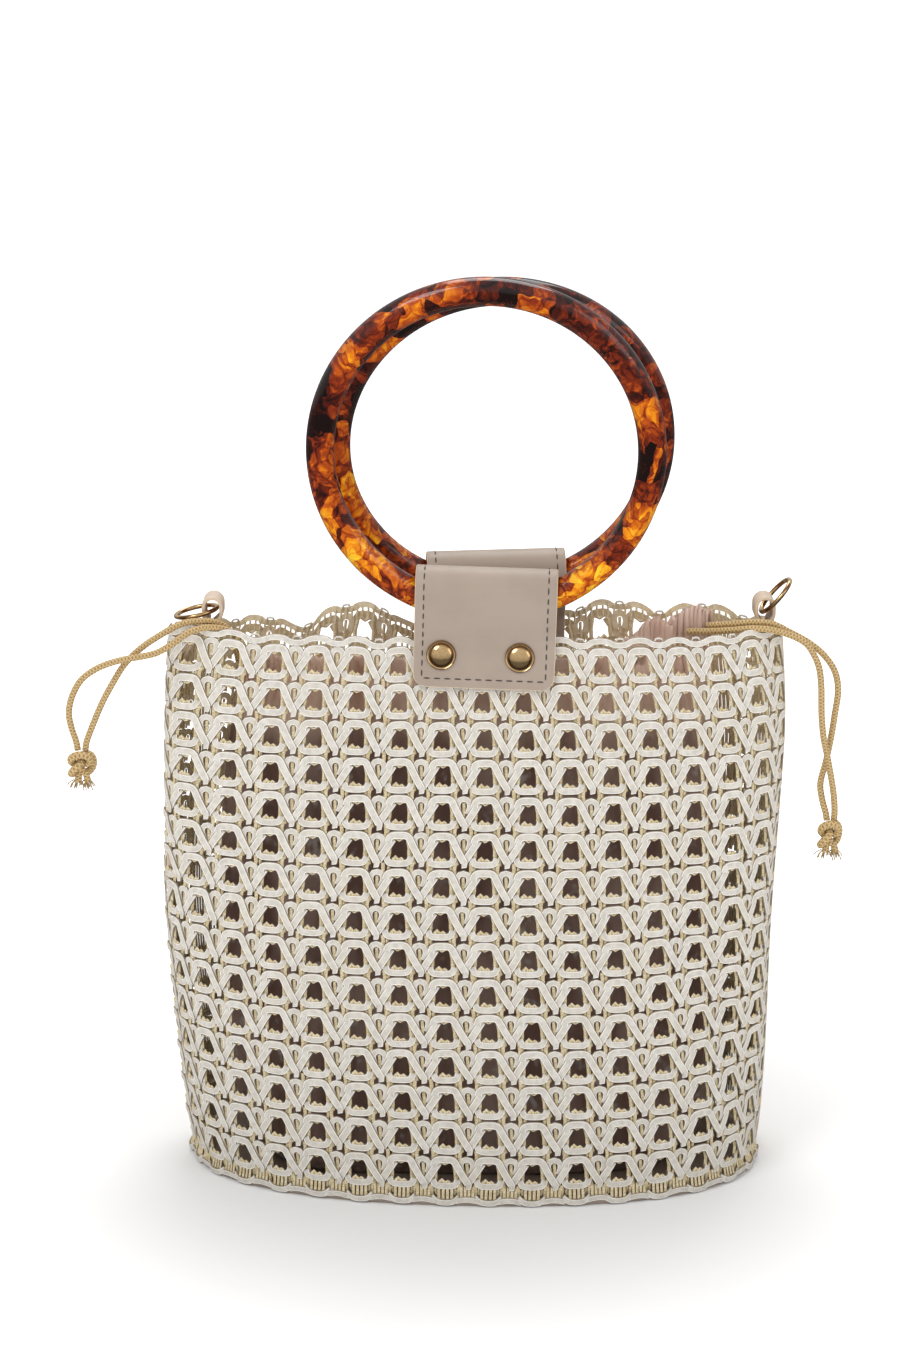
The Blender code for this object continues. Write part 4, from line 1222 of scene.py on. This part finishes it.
def rivet_frame(wall, side):
    """Where a rivet sits: on the weave's middle, its head pointing outwards."""
    (rim_y, rim_z), (foot_y, foot_z) = tab_legs(wall)
    share = (rim_z + RIVET_DROP) / (rim_z - foot_z)
    y = rim_y + (foot_y - rim_y) * share
    slope = math.atan2(rim_y - foot_y, rim_z - foot_z)
    outwards = Vector((0.0, -math.cos(slope), math.sin(slope)))
    sideways = Vector((1.0, 0.0, 0.0))
    third = outwards.cross(sideways)
    local = Matrix.Identity(4)
    for column, axis in enumerate((sideways, third, outwards)):
        for row in range(3):
            local[row][column] = axis[row]
    local.translation = Vector((RIVET_SHIFT + RIVET_SPACING / 2 * side, y, -RIVET_DROP))
    return tab_frame(wall) @ local


def turned_piece(name, profile, steps, look):
    """A round piece: a circle drawn up and in from ring to ring, closed at both ends."""
    desk_clear()
    bpy.ops.mesh.primitive_circle_add(vertices=steps, radius=profile[0][0], fill_type="NGON")
    piece = named(name, look)
    piece.data.transform(Matrix.Translation((0.0, 0.0, profile[0][1])))
    bpy.ops.object.mode_set(mode="EDIT")
    bpy.ops.mesh.select_all(action="SELECT")
    radius, height = profile[0]
    for following, level in profile[1:]:
        rise = {"value": (0.0, 0.0, level - height)}
        bpy.ops.mesh.extrude_region_move(TRANSFORM_OT_translate=rise)
        factor = following / radius
        bpy.ops.transform.resize(value=(factor, factor, 1.0))
        radius, height = following, level
    bpy.ops.object.mode_set(mode="OBJECT")
    return outward(piece)


def rivet(wall, side, look):
    """Rivet through tab and weave: domed head in a rolled edge, post and inner cap."""
    seat = WEAVE_THICKNESS / 2 + TAB_WALL_CLEARANCE + TAB_THICKNESS + 0.0001
    profile = [
        (0.0019, -seat - 0.0012),
        (0.0036, -seat - 0.0011),
        (0.0042, -seat - 0.0006),
        (0.0042, -seat),
        (0.0020, -seat),
        (0.0020, seat),
        (0.0061, seat),
        (0.0063, seat + 0.0004),
        (0.0060, seat + 0.0008),
        (0.0056, seat + 0.0006),
    ]
    for k in range(9):
        angle = math.pi / 2 * k / 9
        profile.append((0.0054 * math.cos(angle), seat + 0.0006 + 0.0022 * math.sin(angle)))
    name = "rivet_" + wall + "_" + ("right" if side > 0 else "left")
    piece = turned_piece("domed_" + name, profile, 32, look)
    piece.data.transform(rivet_frame(wall, side))
    smooth(outward(piece), 38.0)
    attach(piece, "bag")
    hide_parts(name)


def ring(name, shape, place, look, stands_for):
    """A round ring: a torus laid in its own plane, from its radii and its steps round each."""
    radius, tube, steps, sides = shape
    body, node, slot = stands_for
    desk_clear()
    bpy.ops.mesh.primitive_torus_add(
        major_radius=radius, minor_radius=tube, major_segments=steps, minor_segments=sides
    )
    piece = named(name, look)
    piece.data.transform(place @ Matrix.Rotation(math.radians(90), 4, "X"))
    outward(piece)
    piece.data.shade_smooth()
    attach(piece, body)
    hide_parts(node)
    return piece


def strap_ring_outside():
    return STRAP_RING_RADIUS + STRAP_RING_TUBE


def strap_ring_inside(wide=LOOP_BAND):
    """Half height of the strap ring's hole at the edges of the loop in it."""
    return math.sqrt((STRAP_RING_RADIUS - STRAP_RING_TUBE) ** 2 - (wide / 2) ** 2)


def strap_loop(side, leather, edge):
    """Leather loop on the seam: legs inside the wall, eye above the rim."""
    low, high = (Vector(corner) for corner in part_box("ring_loop_" + side))
    facing = 1.0 if side == "right" else -1.0
    pin = Vector((LOOP_PIN[side], (low.y + high.y) / 2, LOOP_PIN_HEIGHT))
    band, thick = LOOP_BAND, LOOP_THICKNESS
    reach = (strap_ring_outside() - strap_ring_inside()) / 2 + LOOP_CLEARANCE + thick / 2
    apart = (thick + LOOP_CLEARANCE) / 2
    foot, bend = LOOP_FOOT_HEIGHT - LOOP_PIN_HEIGHT, LOOP_BEND_HEIGHT - LOOP_PIN_HEIGHT
    foot_run, bend_run = (
        (seam - pin.x) * facing - LOOP_CLEARANCE - thick for seam in LOOP_SEAM[side]
    )
    neck = -reach * 1.45
    outer = [
        (foot_run + apart, foot),
        (bend_run + apart, bend),
        (apart, neck),
        (reach * 0.98, -reach * 0.75),
        (reach, 0.0),
        (reach, thick * 1.2),
    ]
    inner_leg = [
        (-reach, thick * 1.2),
        (-reach, 0.0),
        (-reach * 0.98, -reach * 0.75),
        (-apart, neck),
        (bend_run - apart, bend),
        (foot_run - apart, foot),
    ]
    crown = arc_path((0.0, thick * 1.2), reach, 0.0, math.pi, 15)
    path = softened(outer, 3) + crown[1:-1] + softened(inner_leg, 3)
    turned = Matrix(((0.0, facing, 0.0), (-1.0, 0.0, 0.0), (0.0, 0.0, 1.0))).to_4x4()
    place = Matrix.Translation(pin) @ turned
    name = "strap_loop_" + side
    made = folded_band(name, path, (band, thick, 0.0), place, (leather, edge), (6, 80))
    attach(made, "bag")
    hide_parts("ring_loop_" + side)
    return pin, facing


def side_strip(side, leather, edge):
    """Leather strip sewn over the seam, from the base to the rim."""
    desk_clear()
    bpy.ops.mesh.primitive_grid_add(x_subdivisions=10, y_subdivisions=60, size=1.0)
    strip = named("seam_strip_" + side, leather, edge)
    thickened(strip, 0.06, 0.018, 2)

    def sewn_on(flat):
        x, y, z = flat.T
        along = np.clip(0.5 + x * 0.999, 0.0, 1.0)
        low = 0.0030 / BAG_HEIGHT
        share = low + (y + 0.5) * (0.998 - low)
        return surface.at(side, along, share, 0.0012 - z / 0.03 * 0.0012)

    bent(strip, sewn_on)
    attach(strip, "bag")
    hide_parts("side_strip_" + side)


# ---- Pouch


def pouch(look):
    """Fabric pouch: a closed bag of cloth whose neck is gathered by the drawstring."""
    rng = np.random.default_rng(5)
    waves = [(n, rng.uniform(0, 6.28), rng.uniform(0.4, 1.0)) for n in POUCH_GATHERS]
    steps = 360
    shares = np.concatenate([np.linspace(0.0, 0.86, 34), np.linspace(0.875, 1.0, 26)])
    span = POUCH_HEIGHT - POUCH_FLOOR
    angles = np.arange(steps) * (FULL_TURN / steps)
    slow = np.sin(5 * angles + 0.6) * 0.5 + np.sin(9 * angles + 2.0) * 0.5
    points = []
    c, s = np.cos(angles), np.sin(angles)
    for share in shares:
        width = POUCH_HALF_WIDTH * table_value(POUCH_SECTIONS, POUCH_COLUMNS, "width", share)
        depth = POUCH_HALF_DEPTH * table_value(POUCH_SECTIONS, POUCH_COLUMNS, "depth", share)
        x = width * np.sign(c) * np.abs(c) ** POUCH_SQUARENESS
        y = depth * np.sign(s) * np.abs(s) ** POUCH_SQUARENESS
        lean = (x / POUCH_HALF_WIDTH - POUCH_RUFFLE_PLACE) / POUCH_RUFFLE_REACH
        top = POUCH_RUFFLE_RISE * np.exp(-(lean**2))
        for centre, reach, rise in RUFFLE_LUMPS:
            top = top + rise * np.exp(-(((x - centre) / reach) ** 2)) * np.where(y < 0, 1.0, 0.5)
        blend = max((share - 0.88) / 0.12, 0.0)
        slant = 26.0 * (share - 1.0)
        gather = sum(
            w * np.sin(n * angles + p + 1.3 * np.sin(3 * angles + p) + slant * math.cos(p))
            for n, p, w in waves
        )
        gather /= np.abs(gather).max()
        casing = math.exp(-(((share - POUCH_CASING) / 0.009) ** 2))
        full = min(max((share - 0.45) / 0.5, 0.0), 1.0)
        ripple = gather * (0.0011 + 0.0022 * blend) * full**2 * (1 - 0.5 * casing) - 0.0016
        ripple += slow * 0.0012 * (1 - full) - 0.0026 * casing
        normal = np.column_stack([x / width**2, y / depth**2])
        normal /= np.linalg.norm(normal, axis=1)[:, None]
        z = np.full(steps, POUCH_FLOOR + 0.0008 + span * share) + top * blend**2
        z += gather * 0.0026 * blend - 0.0068 * blend * np.clip(y / depth + 0.1, 0.0, 1.0)
        points.append(np.column_stack([x + normal[:, 0] * ripple, y + normal[:, 1] * ripple, z]))
    # The cloth turns over at the mouth and hangs a little way down inside.
    for drop, inward in ((0.0006, 0.0010), (0.003, 0.0018), (0.008, 0.0022), (0.016, 0.0022)):
        last = points[len(shares) - 1]
        away = last[:, :2] / np.linalg.norm(last[:, :2], axis=1)[:, None]
        inner = last.copy()
        inner[:, :2] -= away * inward
        inner[:, 2] -= drop - 0.0004
        points.append(inner)
    rows = len(points)
    grid = np.vstack(points)
    ring = np.arange(steps)
    quads = [loops_between(ring + k * steps, ring + (k + 1) * steps) for k in range(rows - 1)]
    # Flat floor of the pouch, closed ring by ring to its middle line.
    floor = [grid[:steps] * (shrink, shrink, 1.0) for shrink in (0.75, 0.5, 0.25, 0.04)]
    rings = [ring] + [ring + (rows + k) * steps for k in range(len(floor))]
    quads += [loops_between(a, b)[:, [1, 0, 3, 2]] for a, b in zip(rings, rings[1:])]
    grid = np.vstack([grid, *floor])
    cloth = mesh_piece("pouch_cloth", grid, np.vstack(quads), (look,))
    outward(cloth)
    cloth.data.shade_smooth()
    thick = cloth.modifiers.new("cloth_thickness", "SOLIDIFY")
    thick.thickness = 0.0005
    thick.offset = 0.0
    apply_all(cloth)
    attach(cloth, "bag")
    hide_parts("pouch")


# ---- Drawstrings


def tube(name, route, radius, look, sides=14):
    """A round cord along a path, with UVs in millimetres along it and turns around it."""
    path = smooth_route(route, spacing=0.0011)
    ahead = np.gradient(path, axis=0)
    ahead /= np.linalg.norm(ahead, axis=1)[:, None]
    up = np.array([0.3, 0.9, 0.3])
    points, uv = [], []
    run = 0.0
    for k, (place, tangent) in enumerate(zip(path, ahead)):
        if k:
            run += float(np.linalg.norm(place - path[k - 1]))
        up = up - tangent * up.dot(tangent)
        up /= np.linalg.norm(up)
        side = np.cross(tangent, up)
        for j in range(sides + 1):
            angle = FULL_TURN * (j % sides) / sides
            points.append(place + radius * (math.cos(angle) * up + math.sin(angle) * side))
            uv.append((run / MM, j / sides))
    quads = []
    count = sides + 1
    for k in range(len(path) - 1):
        for j in range(sides):
            a = k * count + j
            quads.append((a, a + 1, a + count + 1, a + count))
    made = mesh_piece(name, np.array(points), np.array(quads), (look,), np.array(uv))
    smooth(outward(made, 1e-7, sides), 60.0)
    return made, path


def tied_knot(name, centre, width, height, look):
    """Overhand knot drawn tight: the cord wound twice round itself, three times through."""
    thick = KNOT_STRAND_RADIUS
    reach = Matrix.Rotation(math.radians(38), 3, "Z") @ Matrix.Rotation(math.radians(32), 3, "X")
    t = np.linspace(0.0, FULL_TURN, 73)
    across = 2.75 + 1.55 * np.cos(3 * t)
    turns = np.column_stack([across * np.cos(2 * t), 1.55 * np.sin(3 * t), across * np.sin(2 * t)])
    turns = turns @ np.array(reach).T
    turns -= (turns.max(axis=0) + turns.min(axis=0)) / 2
    turns *= (np.array([width, KNOT_DEPTH, height]) - 2 * thick) / np.ptp(turns, axis=0)
    route = [tuple(np.array(centre) + turn * MM) for turn in turns]
    return tube(name, route, thick * MM, look)[0]


def frayed_tails(name, centre, look):
    """The two cut ends below a knot: short thick tails opening into loose threads."""
    rng = np.random.default_rng(3)
    pieces = []
    for side, lean in ((-1.0, -0.10), (1.0, 0.25)):
        x, y, z = centre[0] + side * 0.0014, centre[1], centre[2] - 0.0036
        foot = np.array([x + lean * 0.0046, y - 0.0004, z - 0.0046])
        pieces.append(tube("tail", [(x, y, z), tuple(foot)], 0.0015, look, 10)[0])
        for _ in range(14):
            push = rng.normal(0.0, 0.0006, 2)
            start = foot + np.array([push[0], push[1], 0.0010])
            length = rng.uniform(0.0022, 0.0040)
            end = start + np.array([lean * length + push[0] * 1.6, push[1] * 1.6, -length])
            middle = (start + end) / 2 + np.array([push[0] * 0.4, 0.0, 0.0])
            route = [tuple(start), tuple(middle), tuple(end)]
            pieces.append(tube("thread_end", route, 0.00024, look, 5)[0])
    desk_clear()
    for piece in pieces:
        piece.select_set(True)
    bpy.context.view_layer.objects.active = pieces[0]
    bpy.ops.object.join()
    pieces[0].name = name
    pieces[0].data.name = name
    return pieces[0]


def build_cords(look):
    """The four hanging strands of the drawstring, with a knot and frayed ends for each pair."""
    cords = {}
    for name, route in CORD_ROUTES.items():
        piece, path = tube("braided_" + name, route, CORD_RADIUS, look)
        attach(piece, "bag")
        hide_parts(name)
        cords[name] = (piece, path)
    for name, (centre, width, height) in KNOTS.items():
        piece = tied_knot("tied_" + name, centre, width, height, look)
        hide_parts(name)
        tails = frayed_tails("frayed_" + name, centre, look)
        for made in (piece, tails):
            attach(made, "bag")
        side = "left" if "left" in name else "right"
        for letter in "ab":
            cord_piece, path = cords["cord_" + side + "_" + letter]


# ---- Camera, floor and light


def camera():
    desk_clear()
    turn = (math.pi / 2 - CAMERA_TILT, 0.0, 0.0)
    bpy.ops.object.camera_add(location=CAMERA_PLACE, rotation=turn)
    made = bpy.context.view_layer.objects.active
    made.name = "camera"
    made.data.sensor_width = 36.0
    made.data.lens = CAMERA_LENS
    made.data.clip_start = 0.05
    bpy.context.scene.camera = made


def studio():
    """White floor that glows away from the bag, with painted shadow where the glow dims near it
    and a painted dark grey floor for glossy rays, a fading white world and three lamps.
    """
    desk_clear()
    bpy.ops.mesh.primitive_plane_add(size=60.0, location=(0.0, 0.0, 0.0))
    floor = bpy.context.view_layer.objects.active
    floor.name = "floor"
    look = Look("pale_floor", (0.82, 0.82, 0.82), 0.9)
    look.shader.inputs["Emission Strength"].default_value = 1.0
    away = look.node("ShaderNodeVectorMath", [look.place()], output=1, operation="LENGTH")
    # The floor glows though it is no lamp; its glow dims near the bag as a painted shadow under
    # it.
    glow_with_painted_shadow = look.mix(away.step(0.09, 0.40), (0.03, 0.03, 0.03), (0.62, 0.62, 0.62))
    look.feed("Emission Color", glow_with_painted_shadow)
    # Painted reflection: glossy rays see the floor as a dim grey glow, for dark reflections in the
    # rings and rivets.
    mirrored = look.node("ShaderNodeLightPath", output="Is Glossy Ray")
    painted_dark_reflection = look.node("ShaderNodeEmission", {"Color": (0.16, 0.16, 0.16, 1.0)})
    output = look.tree.nodes["Material Output"]
    shader = look.shader.outputs[0]
    both = look.node("ShaderNodeMixShader", {0: mirrored, 1: Value(look, shader), 2: painted_dark_reflection})
    look.tree.links.new(both.socket, output.inputs["Surface"])
    floor.data.materials.append(look.material)
    world = bpy.data.worlds.new("studio")
    bpy.context.scene.world = world
    world.use_nodes = True
    tree = world.node_tree
    coordinate = tree.nodes.new("ShaderNodeTexCoord")
    split = tree.nodes.new("ShaderNodeSeparateXYZ")
    fade = tree.nodes.new("ShaderNodeMapRange")
    fade.inputs["From Min"].default_value = -0.35
    fade.inputs["From Max"].default_value = 0.35
    fade.inputs["To Min"].default_value = 0.18
    fade.inputs["To Max"].default_value = 0.66
    background = tree.nodes["Background"]
    tree.links.new(coordinate.outputs["Generated"], split.inputs[0])
    tree.links.new(split.outputs["Z"], fade.inputs["Value"])
    seen = tree.nodes.new("ShaderNodeLightPath")
    strength = tree.nodes.new("ShaderNodeMix")
    tree.links.new(seen.outputs["Is Camera Ray"], strength.inputs[0])
    tree.links.new(fade.outputs[0], strength.inputs[2])
    strength.inputs[3].default_value = 1.0
    tree.links.new(strength.outputs[0], background.inputs["Strength"])
    background.inputs["Color"].default_value = (1.0, 1.0, 1.0, 1.0)

    for name, place, aim, size, power in LAMPS:
        bpy.ops.object.light_add(type="AREA", location=place)
        made = bpy.context.view_layer.objects.active
        made.name = name
        made.data.energy = power
        made.data.size = size
        made.rotation_euler = (Vector(aim) - Vector(place)).to_track_quat("-Z", "Y").to_euler()
    bpy.context.scene.view_settings.view_transform = "Standard"


# ---- The bag

camera()
braid = braid_look()
build_cords(braid)

ribbon, underside = ribbon_look(), underside_look()
threads = {
    "front": thread_look("straw_thread", (210, 192, 150), (238, 226, 192), (180, 158, 116)),
    # The back wall's thread is the straw thread painted lighter: painted light on the back wall's
    # shaded inside.
    "back": thread_look("back_thread_painted_lighter", (232, 216, 178), (252, 242, 214), (208, 188, 148)),
}
leather = leather_look("beige_leather", (173, 157, 143), (167, 151, 137))
trim = leather_look("trim_leather", (216, 198, 180), (206, 184, 162))
edge = edge_look()
sewing = stitch_look()
resin = resin_look()
gold = gold_look()
satin = satin_look()

for wall in ("front", "back"):
    weave(wall, ribbon, threads[wall], underside)
    handle_tab(wall, leather, edge, sewing)
    for side in (-1, 1):
        rivet(wall, side, gold)
    tilt = Matrix.Rotation(RING_TURN[wall], 4, "Z") @ Matrix.Rotation(RING_LEAN[wall], 4, "X")
    centre = Matrix.Translation(RING_FOOT[wall]) @ tilt
    centre = centre @ Matrix.Translation((0.0, 0.0, RING_RADIUS))
    ring(
        "resin_ring_" + wall,
        (RING_RADIUS, RING_TUBE, 144, 28),
        centre,
        resin,
        (wall + "_ring", "handle_ring_" + wall, "tortoiseshell"),
    )

for side in ("left", "right"):
    side_strip(side, trim, edge)
    pin, facing = strap_loop(side, trim, edge)
    rise = STRAP_RING_RISE[side]
    offset = (strap_ring_outside() + strap_ring_inside()) / 2
    swing = math.atan2(facing * math.cos(rise), math.sin(rise))
    place = Matrix.Translation(pin) @ Matrix.Rotation(swing, 4, "Y")
    place = place @ Matrix.Rotation(math.radians(90), 4, "Z")
    place = place @ Matrix.Translation((0.0, 0.0, offset))
    ring(
        "metal_ring_" + side,
        (STRAP_RING_RADIUS, STRAP_RING_TUBE, 96, 16),
        place,
        gold,
        (side + "_strap_ring", "strap_ring_" + side, "gold"),
    )

pouch(satin)

for material_slot in bpy.data.objects["base_panel"].material_slots:
    material_slot.material = leather

studio()
